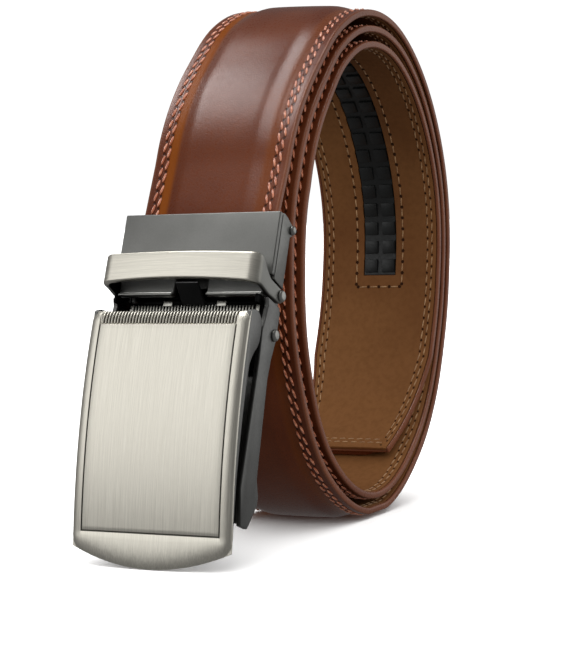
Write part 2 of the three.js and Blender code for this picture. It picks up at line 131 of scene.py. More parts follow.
STRAP_FACE, CUT_END, CLAMP_TOP = -2.0, 14.0, 27.8
knots = [buckle_point(STRAP_FACE, z) for z in (CUT_END, (CUT_END + CLAMP_TOP) / 2, CLAMP_TOP)]
turns = np.arange(-60, LAST_TURN + 0.01, 2.5)
wound = [(coil_radius(t) * math.sin(math.radians(t)), coil_radius(t) * math.cos(math.radians(t)))
         for t in turns]
foot = min(z for _, z in wound) + STAND_FLAT
knots = np.array(knots + [(y, max(z, foot)) for y, z in wound])


# %% A smooth curve through them
def through(points, steps=12):
    """A centripetal curve through the points, with so many steps between two of them."""
    ends = np.vstack([2 * points[0] - points[1], points, 2 * points[-1] - points[-2]])
    curve = []
    for p0, p1, p2, p3 in zip(ends, ends[1:], ends[2:], ends[3:]):
        d0, d1, d2 = (math.sqrt(np.linalg.norm(b - a)) for a, b in ((p0, p1), (p1, p2), (p2, p3)))
        m1 = ((p1 - p0) / d0 - (p2 - p0) / (d0 + d1) + (p2 - p1) / d1) * d1
        m2 = ((p2 - p1) / d1 - (p3 - p1) / (d1 + d2) + (p3 - p2) / d2) * d1
        for t in np.arange(steps) / steps:
            curve.append(p1 + m1 * t + (3 * (p2 - p1) - 2 * m1 - m2) * t ** 2
                         + (2 * (p1 - p2) + m1 + m2) * t ** 3)
    return np.array(curve + [points[-1]])


dense = through(knots)
run = np.concatenate([[0], np.cumsum(np.linalg.norm(np.diff(dense, axis=0), axis=1))])
STRAP_LENGTH = float(run[-1])
ALONG = np.linspace(0, STRAP_LENGTH, int(STRAP_LENGTH * 2))
route_y, route_z = (np.interp(ALONG, run, dense[:, k]) for k in (0, 1))
lead_y, lead_z = np.gradient(route_y, ALONG), np.gradient(route_z, ALONG)
even = np.ones(5) / 5
lead_y, lead_z = (np.convolve(np.pad(v, 2, mode="edge"), even, mode="valid") for v in (lead_y, lead_z))
lead = np.hypot(lead_y, lead_z)
out_y, out_z = -lead_z / lead, lead_y / lead
first_turn = ALONG < COIL_HEIGHT * 1.5
lift = np.array([EDGE_FLARE * smooth(FLARE, math.degrees(math.atan2(y, z))) if near else 0
                 for y, z, near in zip(route_y, route_z, first_turn)])
print("strap length from its cut end to its tip:", round(STRAP_LENGTH), "mm")

# %% [markdown]
# ## Model flat, then roll up
#
# A belt is cut, skived and sewn flat on the bench, and only then rolled. The strap's pieces are made
# the same way here: x runs across the strap, y along it from the clamp and z out of its outer face.
# That keeps rows of stitches and teeth simple, because a straight row can be repeated with an Array
# modifier. `roll_up` then carries each point to its place on the route. Before that, it keeps the
# flat place as an attribute named "flat", so that a finish can still follow the strap afterwards.


# %% Helpers for modelling
def nothing_selected():
    """Leaves edit mode and selects nothing, so that the next operator starts clean."""
    if bpy.context.object and bpy.context.object.mode == "EDIT":
        bpy.ops.object.mode_set(mode="OBJECT")
    bpy.ops.object.select_all(action="DESELECT")


def named(name):
    """Names the primitive that was just added, and brings its place into its mesh."""
    piece = bpy.context.object
    bpy.ops.object.transform_apply(location=True, rotation=True, scale=True)
    piece.name = piece.data.name = name
    return piece


def pick(piece):
    """Selects one piece alone."""
    nothing_selected()
    piece.select_set(True)
    bpy.context.view_layer.objects.active = piece


def open_with(piece, kind, test):
    """Edit mode with only the faces, edges or points selected that pass the test."""
    pick(piece)
    bpy.ops.object.mode_set(mode="EDIT")
    bpy.ops.mesh.select_mode(type=kind)
    bpy.ops.mesh.select_all(action="DESELECT")
    bpy.ops.object.mode_set(mode="OBJECT")
    mesh = piece.data
    if kind == "FACE":
        for face in mesh.polygons:
            face.select = bool(test(face.center, face.normal))
    elif kind == "EDGE":
        for edge in mesh.edges:
            a, b = (mesh.vertices[i].co for i in edge.vertices)
            edge.select = bool(test(a, b))
    else:
        for point in mesh.vertices:
            point.select = bool(test(point.co))
    bpy.ops.object.mode_set(mode="EDIT")


def reshape(piece, move):
    """Carries each point of a piece to move(x, y, z)."""
    if piece.mode == "EDIT":
        bpy.ops.object.mode_set(mode="OBJECT")
    for point in piece.data.vertices:
        point.co = move(*point.co)
    piece.data.update()


def modify(piece, kind, **settings):
    """Adds a modifier and applies it."""
    pick(piece)
    modifier = piece.modifiers.new(kind.lower(), kind)
    for key, value in settings.items():
        setattr(modifier, key, value)
    bpy.ops.object.modifier_apply(modifier=modifier.name)


def repeated(piece, count, *step):
    """Makes a row of copies, each one a step on from the last."""
    modify(piece, "ARRAY", count=count, use_relative_offset=False, use_constant_offset=True,
           constant_offset_displace=step)


def soften(piece, width, segments=2, angle=35):
    """Rounds every edge that is sharper than the angle."""
    modify(piece, "BEVEL", width=width, segments=segments, limit_method="ANGLE",
           angle_limit=math.radians(angle), use_clamp_overlap=True)


def joined(pieces, name):
    """Joins pieces into the first of them."""
    nothing_selected()
    for piece in pieces:
        piece.select_set(True)
    bpy.context.view_layer.objects.active = pieces[0]
    bpy.ops.object.join()
    pieces[0].name = pieces[0].data.name = name
    return pieces[0]


def faces_outwards(piece):
    """Welds double points and turns every face outwards."""
    pick(piece)
    bpy.ops.object.mode_set(mode="EDIT")
    bpy.ops.mesh.select_all(action="SELECT")
    bpy.ops.mesh.remove_doubles(threshold=0.0005)
    bpy.ops.mesh.normals_make_consistent(inside=False)
    bpy.ops.object.mode_set(mode="OBJECT")


def shade(piece, angle=35):
    """Shades smoothly, except across edges sharper than the angle."""
    pick(piece)
    bpy.ops.object.shade_smooth_by_angle(angle=math.radians(angle))
    piece.select_set(False)


def keep_flat_place(piece):
    """Stores where each point lies before it is bent, in millimetres, as the attribute flat."""
    flat = piece.data.attributes.new("flat", "FLOAT_VECTOR", "POINT")
    places = np.empty(len(piece.data.vertices) * 3, np.float32)
    piece.data.vertices.foreach_get("co", places)
    flat.data.foreach_set("vector", places)


def half_width(along):
    """Half the strap's width: it narrows towards the tail's tip."""
    taper = min(max(0.0, (along - STRAP_LENGTH + TIP_TAPER) / TIP_TAPER), 1.0)
    return (STRAP_WIDTH + (TIP_WIDTH - STRAP_WIDTH) * taper) / 2


def roll_up(piece):
    """Carries a flat piece onto the rolled strap and seats it in the row frame, in metres."""
    keep_flat_place(piece)

    def wound_place(x, along, out):
        x *= half_width(along) / (STRAP_WIDTH / 2)
        rows = (route_y, route_z, out_y, out_z, lift)
        y, z, oy, oz, rise = (np.interp(along, ALONG, row) for row in rows)
        out += rise * (0.5 - x / STRAP_WIDTH)
        return Vector((x, y + oy * out, z + oz * out))

    reshape(piece, wound_place)
    piece.data.transform(COIL_CENTRE)
    shade(piece)
    return piece


# %% [markdown]
# ## The outer leather
#
# The outer leather is padded in the middle: it lies flat for some five millimetres along each edge,
# under two rows of stitches, and then rises over the padding. A grid with its columns close together where
# the height changes fast gives that shape with few faces. Solidify gives the leather its thickness, and
# the rim is drawn down past the lining, as the painted edge of a real belt covers both layers.

# %% Height of the outer face
STITCH_ROWS = (15.4, 14.1)
PAD_EDGE, PAD_SLOPE, PAD_DOME = 12.9, 5.3, 0.3


def padding(x):
    """How far the face stands out: padded in the middle, pressed in a little under the thread."""
    edge = abs(x)
    rise = min(max((PAD_EDGE - edge) / PAD_SLOPE, 0.0), 1.0)
    rise = rise * rise * (3 - 2 * rise)
    dome = PAD_DOME * (1 - (edge / PAD_EDGE) ** 2) if edge < PAD_EDGE else 0
    pressed = sum(0.13 * math.exp(-((edge - row) / 0.33) ** 2) for row in STITCH_ROWS)
    return (CROWN - PAD_DOME) * rise + dome - pressed


# %% Leather, flat
half_columns = [1.6, 3.4, 5.2, 6.8, 8.2, 9.0, 9.6, 10.2, 10.8, 11.4, 12.0, 12.6, 13.1, 13.5, 13.8, 14.1,
                14.4, 14.75, 15.1, 15.4, 15.7, 16.1, 16.65, 17.5]
COLUMNS = [-x for x in reversed(half_columns)] + [0.0] + half_columns
LAST = len(COLUMNS) - 1
nothing_selected()
bpy.ops.mesh.primitive_grid_add(x_subdivisions=LAST, y_subdivisions=int(STRAP_LENGTH / 2), size=1)
leather = named("outer_leather")
reshape(leather, lambda x, y, z: (COLUMNS[round((x + 0.5) * LAST)], (y + 0.5) * STRAP_LENGTH, z))
modify(leather, "SOLIDIFY", thickness=LEATHER, offset=-1)
open_with(leather, "FACE", lambda centre, normal: normal.z < -0.9 and abs(centre.x) > 16.7)
bpy.ops.mesh.extrude_region_move(TRANSFORM_OT_translate={"value": (0, 0, -LINING)})
bpy.ops.object.mode_set(mode="OBJECT")
modify(leather, "BEVEL", width=0.5, segments=4, limit_method="ANGLE", angle_limit=math.radians(60))
reshape(leather, lambda x, y, z: (x, y, z + (padding(x) if z > -0.02 else 0)))
roll_up(leather)
print("outer leather:", len(leather.data.polygons), "faces")

# %% [markdown]
# ## The lining and the ratchet track
#
# The lining is a plain band glued inside the rim, with a long window near the tail. The track sits in
# that window: a black moulded strip with two columns of square teeth that the buckle's pawl catches.
# One tooth is a cube with its top face drawn in towards one side, as a ratchet's is, and an Array
# modifier repeats it down the strip.

# %% Lining, flat, with the window for the track
TRACK_WIDTH, TRACK_LENGTH, TRACK_FROM_TIP = 9.1, 196.0, 55.3
TRACK_END = STRAP_LENGTH - TRACK_FROM_TIP
TRACK_START = TRACK_END - TRACK_LENGTH
WINDOW_GAP, GLUE_LINE = 0.25, 0.08
WINDOW_HALF = TRACK_WIDTH / 2 + WINDOW_GAP
WINDOW_ROW = WINDOW_HALF + 2.0
WINDOW_ENDS = (TRACK_START - 3.5, TRACK_END + 3.5)
lining_columns = [-16.55, -12, -8, -WINDOW_HALF, 0, WINDOW_HALF, 8, 12, 16.55]
lining_rows = sorted(set(np.round(np.arange(0, STRAP_LENGTH, 2.0), 3)) | {STRAP_LENGTH}
                     | {TRACK_START - WINDOW_GAP, TRACK_END + WINDOW_GAP})
last = len(lining_rows) - 1
nothing_selected()
bpy.ops.mesh.primitive_grid_add(x_subdivisions=8, y_subdivisions=last, size=1)
lining = named("lining")
reshape(lining, lambda x, y, z: (lining_columns[round((x + 0.5) * 8)],
                                 lining_rows[round((y + 0.5) * last)], -LEATHER - GLUE_LINE))
open_with(lining, "FACE", lambda centre, normal: abs(centre.x) < WINDOW_HALF
          and TRACK_START - 0.3 < centre.y < TRACK_END + 0.3)
bpy.ops.mesh.delete(type="FACE")
bpy.ops.object.mode_set(mode="OBJECT")
modify(lining, "SOLIDIFY", thickness=LINING, offset=-1)
modify(lining, "BEVEL", width=0.12, segments=2, limit_method="ANGLE", angle_limit=math.radians(60))
roll_up(lining)

# %% Track strip and its teeth
TEETH, TOOTH_PITCH, TOOTH_LENGTH, TOOTH_WIDTH, TOOTH_GAP = 36, 5.3, 3.7, 3.8, 1.3
top = TRACK_END - 0.6 - TOOTH_LENGTH / 2
nothing_selected()
bpy.ops.mesh.primitive_grid_add(x_subdivisions=2, y_subdivisions=98, size=1)
strip = named("track_strip")
reshape(strip, lambda x, y, z: (x * TRACK_WIDTH, TRACK_START + (y + 0.5) * TRACK_LENGTH, -1.05))
modify(strip, "SOLIDIFY", thickness=0.45, offset=-1)
teeth = []
for side in (-1, 1):
    nothing_selected()
    bpy.ops.mesh.primitive_cube_add(size=1, location=(side * (TOOTH_GAP + TOOTH_WIDTH) / 2, 0, -1.68),
                                    scale=(TOOTH_WIDTH, TOOTH_LENGTH, 0.7))
    tooth = named("tooth")
    open_with(tooth, "EDGE", lambda a, b: a.z < -1.9 and b.z < -1.9 and a.y > 1 and b.y > 1)
    bpy.ops.transform.translate(value=(0, 0, 0.22))
    bpy.ops.object.mode_set(mode="OBJECT")
    soften(tooth, 0.22, 2)
    reshape(tooth, lambda x, y, z: (x, y + top, z))
    repeated(tooth, TEETH, 0, -TOOTH_PITCH, 0)
    teeth.append(tooth)
track = joined([strip] + teeth, "track")
roll_up(track)
print("lining and track:", len(lining.data.polygons), len(track.data.polygons), "faces")

# %% [markdown]
# ## The stitches
#
# Two rows of thread run along each edge, through both layers, and one row frames the track's window.
# A stitch is a short thread that dives into a hole at both ends. It starts as a small sphere with few
# faces, stretched and turned a little, because the lock stitch lies slanted. An Array modifier makes a
# row of about 270, and the rows are rolled up with the strap. Two thousand stitches stay light because
# each has only some dozens of faces.


# %% Rows of stitches
def stitch_row(x, start, end, thread, slant, across=False):
    """One straight row of stitches, on the outer face where the thread's height is positive."""
    pitch, length, width, height = thread
    nothing_selected()
    bpy.ops.mesh.primitive_uv_sphere_add(segments=6, ring_count=5, radius=0.5,
                                         rotation=(math.radians(90), 0, 0), scale=(width, 1, 1))
    stitch = named("stitch")
    cos, sin = math.cos(math.radians(slant)), math.sin(math.radians(slant))
    thick = width * (0.8 if height > -1 else -0.8)
    count = max(1, int((end - start) / pitch))
    first = start + (end - start - count * pitch) / 2 + pitch / 2

    def lay(px, py, pz):
        py *= length
        aside, ahead = px * cos - py * sin, px * sin + py * cos
        spot = (first + ahead, x + aside) if across else (x + aside, first + ahead)
        return *spot, height + pz * thick

    reshape(stitch, lay)
    repeated(stitch, count, *((pitch, 0, 0) if across else (0, pitch, 0)))
    return stitch


def row_ends(number):
    """Where the outer row (0) or the inner row (1) of an edge starts and ends."""
    return 1.0 + number * 1.6, STRAP_LENGTH - 1.9 - number * 1.3


# %% Thread on the outer face and on the lining
OUTER_PITCH, INNER_PITCH, WINDOW_PITCH = 3.2, 3.2, 3.1
# Pitch, length, thickness and height of a stitch.
OUTER_STITCH = (OUTER_PITCH, 2.4, 0.64, 0.04)
INNER_STITCH = (INNER_PITCH, 2.3, 0.42, -1.8)
WINDOW_STITCH = (WINDOW_PITCH, 2.3, 0.42, -1.8)
outer_rows, inner_rows = [], []
for side in (-1, 1):
    for number, row in enumerate(STITCH_ROWS):
        outer_rows.append(stitch_row(side * row, *row_ends(number), OUTER_STITCH, side * 14))
        inner_rows.append(stitch_row(side * row, *row_ends(number), INNER_STITCH, side * 6))
    inner_rows.append(stitch_row(side * WINDOW_ROW, *WINDOW_ENDS, WINDOW_STITCH, side * 3))
for number in (0, 1):
    back = STRAP_LENGTH - 2.1 - number * 1.3
    reach = STITCH_ROWS[number] - 0.4
    outer_rows.append(stitch_row(back, -reach, reach, OUTER_STITCH, 8, across=True))
    inner_rows.append(stitch_row(back, -reach, reach, INNER_STITCH, 4, across=True))
for end in WINDOW_ENDS:
    inner_rows.append(stitch_row(end, -WINDOW_ROW, WINDOW_ROW, WINDOW_STITCH, 3, across=True))
outer_thread = roll_up(joined(outer_rows, "outer_stitches"))
inner_thread = roll_up(joined(inner_rows, "lining_stitches"))
print("thread:", len(outer_thread.data.polygons), "+", len(inner_thread.data.polygons), "faces")

# %% [markdown]
# ## The buckle's own drawing board
#
# The buckle leans back by 21 degrees. Its parts are modelled upright, with the lid's pin as their
# origin, and `seat` leans them and brings them to their place. Flat metal parts, such as cheeks and
# side plates, are punched from sheet, so each starts as a polygon with its real outline, is extruded
# by the sheet's thickness and has its edges softened: a sharp edge catches no light, and real plated
# edges always do.


# %% Helpers for the buckle
def seat(piece, angle=35):
    """Leans a part of the buckle back and brings it to its place, in metres."""
    if "flat" not in piece.data.attributes:
        keep_flat_place(piece)
    piece.data.transform(BUCKLE)
    shade(piece, angle)
    return piece


def punched(name, outline, x0, x1, edge=0.18, segments=2):
    """A plate with an outline of (y, z) points, from x0 to x1 across the buckle."""
    nothing_selected()
    bpy.ops.mesh.primitive_circle_add(vertices=len(outline), radius=1, fill_type="NGON")
    plate = named(name)
    for point, (y, z) in zip(plate.data.vertices, outline):
        point.co = (x0, y, z)
    open_with(plate, "FACE", lambda centre, normal: True)
    bpy.ops.mesh.extrude_region_move(TRANSFORM_OT_translate={"value": (x1 - x0, 0, 0)})
    bpy.ops.object.mode_set(mode="OBJECT")
    faces_outwards(plate)
    if edge:
        soften(plate, edge, segments, 25)
    return plate


def slab(name, x0, x1, y0, y1, z0, z1, edge=0.15, segments=2):
    """A small rectangular part with softened edges."""
    nothing_selected()
    bpy.ops.mesh.primitive_cube_add(size=1, location=((x0 + x1) / 2, (y0 + y1) / 2, (z0 + z1) / 2),
                                    scale=(x1 - x0, y1 - y0, z1 - z0))
    part = named(name)
    if edge:
        soften(part, edge, segments)
    return part


def pair(name, near, far, *sizes):
    """Two slabs, one on each side of the buckle's middle."""
    return [slab(name, *sorted((side * near, side * far)), *sizes) for side in (-1, 1)]


def rod(name, radius, length, y, z, vertices=24, x=0.0):
    """A round bar across the buckle."""
    nothing_selected()
    bpy.ops.mesh.primitive_cylinder_add(vertices=vertices, radius=radius, depth=length,
                                        location=(x, y, z), rotation=(0, math.radians(90), 0))
    return named(name)


def drilled(piece, radius, y, z):
    """Cuts a round hole across the buckle."""
    drill = rod("drill", radius, 60, y, z)
    modify(piece, "BOOLEAN", operation="DIFFERENCE", solver="EXACT", object=drill)
    bpy.data.objects.remove(drill)


# %% Sizes of the buckle
FIT = 0.3
SIDE_WIDTH, SIDE_THICKNESS = 40.4, 1.2
SIDE, INSIDE = SIDE_WIDTH / 2, SIDE_WIDTH / 2 - SIDE_THICKNESS
PLATE_FRONT, PLATE_THICKNESS, PLATE_TOP, PLATE_STEP, PLATE_BOTTOM = -5.3, 1.4, 27.8, 12.8, 7.8
NOTCH_WIDTH, NOTCH_HEIGHT = 8.6, 4.4
CHEEK_FRONT = PLATE_FRONT + PLATE_THICKNESS + 0.12
LOOP_PIN_Y, LOOP_PIN_Z = 0.5, 9.4
JAW_Y, JAW_Z = 1.35, 25.4

# %% [markdown]
# ## The clamp
#
# The clamp holds the strap's cut end. Its front plate is one flat sheet with a notch in its lower edge
# for the spring tongue. Two cheeks close its sides, and a thin dark seam shows where plate and cheek
# meet. The plate is modelled from a polygon in the X-Z plane, so that the notch is part of its outline.
# Its lower edge is rolled forward into a rounded lip on both sides of the notch, a soft-edged bar each,
# whose brighter steel paints a highlight along it.

# %% Clamp plate
LOWER = INSIDE - FIT
NOTCH, NOTCH_TOP = NOTCH_WIDTH / 2, PLATE_BOTTOM + NOTCH_HEIGHT
right_half = [(NOTCH, NOTCH_TOP), (NOTCH, PLATE_BOTTOM), (LOWER, PLATE_BOTTOM), (LOWER, PLATE_STEP),
              (SIDE, PLATE_STEP), (SIDE, PLATE_TOP)]
outline = right_half[::-1] + [(-x, z) for x, z in right_half]
nothing_selected()
bpy.ops.mesh.primitive_circle_add(vertices=len(outline), radius=1, fill_type="NGON")
clamp_plate = named("clamp_front")
for point, (x, z) in zip(clamp_plate.data.vertices, outline):
    point.co = (x, PLATE_FRONT, z)
open_with(clamp_plate, "FACE", lambda centre, normal: True)
bpy.ops.mesh.extrude_region_move(TRANSFORM_OT_translate={"value": (0, PLATE_THICKNESS, 0)})
bpy.ops.object.mode_set(mode="OBJECT")
faces_outwards(clamp_plate)
soften(clamp_plate, 0.3, 3)
seat(clamp_plate)
clamp_lip = joined(pair("lip", NOTCH + 0.02, LOWER - 0.02, PLATE_FRONT - 0.75, PLATE_FRONT + 0.6,
                        PLATE_BOTTOM - 0.15, PLATE_BOTTOM + 0.75, 0.4, 4), "clamp_lip")
seat(clamp_lip)

# %% Clamp cheeks, rear wall and lugs
cheek = [(CHEEK_FRONT, PLATE_TOP - 0.05), (CHEEK_FRONT + 0.6, PLATE_TOP + 0.2),
         (CHEEK_FRONT + 2.4, PLATE_TOP - 0.2), (JAW_Y - 1.0, JAW_Z + 1.5), (JAW_Y + 0.7, JAW_Z + 1.1),
         (JAW_Y + 1.2, JAW_Z), (JAW_Y + 0.7, JAW_Z - 1.1), (0.9, JAW_Z - 1.9), (0.9, PLATE_STEP - 1.6),
         (CHEEK_FRONT, PLATE_STEP - 0.7)]
clamp_parts = [punched("cheek", cheek, side * INSIDE, side * SIDE) for side in (-1, 1)]
clamp_parts.append(slab("wall", -INSIDE - 0.2, INSIDE + 0.2, 0.1, 0.9, 11.2, 22))
clamp_parts += pair("lug", 16.6, 17.4, LOOP_PIN_Y - 2, LOOP_PIN_Y + 2, LOOP_PIN_Z - 2, 12.8)
clamp_body = joined(clamp_parts, "clamp_cheeks")
seat(clamp_body)
print("clamp:", len(clamp_plate.data.polygons), len(clamp_body.data.polygons), "faces")

# %% [markdown]
# ## The keeper loop
#
# The keeper loop is a stirrup: a wide bar in front, rounded into two arms that reach back to the pin.
# It is modelled as a straight bar and then bent, like the strap: x is the bar's height, y runs from
# one arm's end round the front to the other, and z is its thickness. The bar's height follows a short
# table, because the arms taper towards the pin.

# %% Keeper loop, straight and then bent
BAR_FRONT, BAR_BOW, BEND_RADIUS, BAR_HEIGHT = -13.3, 1.4, 2.8, 6.4
BAR_HALF = SIDE
ARM_BACK = LOOP_PIN_Y + 1.6
straight_arm = ARM_BACK - (BAR_FRONT + BAR_BOW) - BEND_RADIUS
corner = math.pi / 2 * BEND_RADIUS
front_half = BAR_HALF - BEND_RADIUS
LOOP_LENGTH = 2 * (straight_arm + corner + front_half)
BAR_LOW = {-14: 9.5, -13.3: 9.5, -11.9: 8.9, -8.7: 8.7, -5.3: 7.9, 0.8: 7.6, 1.6: 8.3, 2.1: 9.2}
BAR_HIGH = {-14: 15.9, -10.8: 15.75, -9.4: 15.3, -7.6: 13.4, -5.3: 11.75, 0.8: 10.9, 1.6: 10.4, 2.1: 9.6}


def bent_bar(height, along, depth):
    """From the straight bar to the stirrup: height 0 to 1, along its length, depth inwards."""
    side = -1 if along < 0 else 1
    travel = abs(along)
    if travel <= front_half:
        x, y = travel, BAR_FRONT + BAR_BOW * (travel / BAR_HALF) ** 2
        nx, ny = -1.4 * BAR_BOW * travel / BAR_HALF ** 2, 1.0
    elif travel <= front_half + corner:
        turn = (travel - front_half) / BEND_RADIUS
        centre_y = BAR_FRONT + BAR_BOW * (front_half / BAR_HALF) ** 2 + BEND_RADIUS
        x, y = front_half + BEND_RADIUS * math.sin(turn), centre_y - BEND_RADIUS * math.cos(turn)
        nx, ny = -math.sin(turn), math.cos(turn)
    else:
        centre_y = BAR_FRONT + BAR_BOW * (front_half / BAR_HALF) ** 2 + BEND_RADIUS
        x, y, nx, ny = BAR_HALF, centre_y + travel - front_half - corner, -1.0, 0.0
    thin = 1.0 if travel <= front_half + corner else 0.8
    low = np.interp(y, list(BAR_LOW), list(BAR_LOW.values()))
    high = np.interp(y, list(BAR_HIGH), list(BAR_HIGH.values()))
    return Vector((side * (x + nx * depth * thin), y + ny * depth * thin, low + (high - low) * height))


nothing_selected()
bpy.ops.mesh.primitive_grid_add(x_subdivisions=4, y_subdivisions=96, size=1)
keeper = named("keeper_stirrup")
reshape(keeper, lambda x, y, z: (x * BAR_HEIGHT, y * LOOP_LENGTH, 0))
modify(keeper, "SOLIDIFY", thickness=1.5, offset=-1)
soften(keeper, 0.45, 4, 60)
keep_flat_place(keeper)
reshape(keeper, lambda x, y, z: bent_bar(x / BAR_HEIGHT + 0.5, y, -z))
faces_outwards(keeper)
drilled(keeper, 1.0, LOOP_PIN_Y, LOOP_PIN_Z)
seat(keeper, 40)
print("keeper loop:", len(keeper.data.polygons), "faces, bar length", round(LOOP_LENGTH, 1), "mm")

# %% [markdown]
# ## The frame
#
# The frame is the channel that the tail runs through: two side plates with a step at their foot, a
# floor between them, and lugs up to the loop's pin.

# %% Frame
FRAME_BOTTOM = -44.1
FRAME_TOP = LOOP_PIN_Z - 2.7
side_plate = [(PLATE_FRONT - 0.1, FRAME_TOP + 0.7), (-4.6, FRAME_TOP - 1.2), (-5.0, 3), (-5.8, -0.4),
              (-5.3, -7), (-5.4, FRAME_BOTTOM + 8), (-3, FRAME_BOTTOM), (0.2, FRAME_BOTTOM),
              (1.8, FRAME_BOTTOM + 3), (3.3, FRAME_BOTTOM + 6), (3.2, FRAME_BOTTOM + 8),
              (1.5, FRAME_BOTTOM + 11.4), (1, -26), (-0.2, -10.3), (0.2, -5.6), (1.3, -0.6),
              (1.2, FRAME_TOP - 1.2), (0.7, FRAME_TOP)]
frame_parts = [punched("side", side_plate, side * INSIDE, side * SIDE, 0.22, 3) for side in (-1, 1)]
frame_parts.append(slab("floor", -INSIDE - 0.2, INSIDE + 0.2, -1.2, -0.3, FRAME_BOTTOM + 1, -8))
frame_parts += pair("lug", 17.9, 18.7, -1.0, LOOP_PIN_Y + 2, 2.8, LOOP_PIN_Z + 2)
frame_parts += pair("step", 18.0, 20.0, -1, 1, 2.8, FRAME_TOP - 0.6)
frame_body = joined(frame_parts, "frame_channel")
seat(frame_body)

# %% [markdown]
# ### The guide above the lid
#
# The frame's floor carries on past the lid pin as a deep black guide plate, which closes the gap
# between the clamp and the lid: a dark sheet that stands in for the shade inside the buckle. Its upper
# edge has a second band of ridges between two end blocks, two bare steel tabs hook over it, and a deep
# black guard at each end stops the view into the buckle, again as painted shade. The ridges are one
# softened rib, set out thirty-nine times by an Array modifier.

# %% Guide plate, its ridges and tabs
GUIDE_REAR, GUIDE_FRONT, GUIDE_TOP, GUIDE_HALF = -1.2, -2.1, 7.1, 17.6
guide = slab("guide", -GUIDE_HALF, GUIDE_HALF, GUIDE_FRONT, GUIDE_REAR, -8.6, GUIDE_TOP, 0.2, 3)
step = slab("step", -GUIDE_HALF, GUIDE_HALF, GUIDE_FRONT + 0.02, -0.3, -9, -8.1)
guards = pair("guard", 17.95, 18.6, -7.4, -0.9, 5.6, 7.6)
guide = joined([guide, step, *guards], "guide_plate_shade")
seat(guide)
RIBS, RIB_PITCH = 39, 0.8
rib = slab("rib", -RIBS / 2 * RIB_PITCH, -RIBS / 2 * RIB_PITCH + 0.46, GUIDE_FRONT - 0.45, GUIDE_FRONT + 0.1,
           4.7, 6.4, 0.12, 2)
repeated(rib, RIBS, RIB_PITCH, 0, 0)
blocks = [slab("block", x - 0.5, x + 0.5, GUIDE_FRONT - 0.5, GUIDE_FRONT + 0.1, 4.6, 6.5, 0.15, 2)
          for x in (-16.4, 16.4)]
guide_ribs = joined([rib, *blocks], "guide_ribs")
seat(guide_ribs)
tabs = joined(pair("tab", 5.8, 8.2, GUIDE_FRONT - 0.5, GUIDE_FRONT + 0.2, GUIDE_TOP - 0.9,
                   GUIDE_TOP + 0.4, 0.14), "spring_tabs")
seat(tabs)
print("guide:", len(guide.data.polygons), "faces, ridges:", len(guide_ribs.data.polygons))

# %% [markdown]
# ## The lid
#
# The lid is what the eye falls on: a bowed plate with an arched foot, rounded strips along its sides, a
# thin engraved line round the middle and a band of grip ridges over its top edge. It is modelled flat,
# with x across and y down from its top edge, and bowed at the end. The engraved line is cut with
# bisect, which adds edges exactly where the line runs, and its faces are pushed in.

# %% Lid, flat
LID_WIDTH, LID_LENGTH, LID_ARC, LID_THICKNESS, LID_BOW = 40.2, 53.08, 4.4, 1.3, 1.9
LID_TOP, LID_SLOPE = (-13.1, 1.8), math.radians(7.7)
LINE_X, LINE_FOOT, LINE_WIDTH, LINE_DEPTH, EDGE_ROUND = 17.6, 49.9, 0.36, 0.25, 2.4
lid_down = Vector((0, math.sin(LID_SLOPE), -math.cos(LID_SLOPE)))
lid_out = Vector((0, -math.cos(LID_SLOPE), -math.sin(LID_SLOPE)))


def on_lid(x, down, out):
    """A point of the flat lid on the bowed one, with the foot's arch."""
    reach = LID_LENGTH + LID_ARC * (1 - min(1, (x / (LID_WIDTH / 2)) ** 2))
    share = down / LID_LENGTH
    late = max(0.0, (down - LID_LENGTH * 0.945) / (LID_LENGTH * 0.055))
    fall = down + (reach - LID_LENGTH) * min(late, 1.0)
    bow = LID_BOW * 4 * share * (1 - min(share, 1))
    raised = 0.07 * max(0.0, fall - LINE_FOOT)
    return Vector((x, *LID_TOP)) + lid_down * fall + lid_out * (bow + raised + out)


def edge_drop(inside):
    """How far a rounded edge has fallen, that far into its rounding."""
    inside = min(max(inside, 0.0), EDGE_ROUND)
    return 0.45 * (EDGE_ROUND - math.sqrt(EDGE_ROUND ** 2 - inside ** 2))


def pillow(x, y, z):
    """Rounds the lid's front towards its edges and sinks the band for the ridges."""
    if z < -0.1:
        return x, y, z
    aside = max(0.0, EDGE_ROUND - (LID_WIDTH / 2 - abs(x)))
    above = max(0.0, EDGE_ROUND - min(y, LID_LENGTH - y))
    band = 0.36 if y < 2.95 and abs(x) < LINE_X - LINE_WIDTH + 0.01 else 0
    return x, y, -min(edge_drop(math.hypot(aside, above)) + band, 1.1)


nothing_selected()
bpy.ops.mesh.primitive_grid_add(x_subdivisions=16, y_subdivisions=24, size=1)
lid = named("lid_plate")
reshape(lid, lambda x, y, z: (-x * LID_WIDTH, (0.5 - y) * LID_LENGTH, 0))
from_edge = (0.08, 0.25, 0.5, 0.8, 1.15, 1.6, 2.0, EDGE_ROUND)
for gap in (*from_edge, LID_WIDTH / 2 - LINE_X, LID_WIDTH / 2 - LINE_X + LINE_WIDTH):
    for side in (-1, 1):
        open_with(lid, "FACE", lambda centre, normal: True)
        bpy.ops.mesh.bisect(plane_co=(side * (LID_WIDTH / 2 - gap), 0, 0), plane_no=(1, 0, 0))
levels = (*from_edge, 2.9, 3.2, LINE_FOOT - LINE_WIDTH, LINE_FOOT, *(LID_LENGTH - gap for gap in from_edge))
for y in levels:
    open_with(lid, "FACE", lambda centre, normal: True)
    bpy.ops.mesh.bisect(plane_co=(0, y, 0), plane_no=(0, 1, 0))
bpy.ops.object.mode_set(mode="OBJECT")
modify(lid, "SOLIDIFY", thickness=LID_THICKNESS, offset=-1)
faces_outwards(lid)


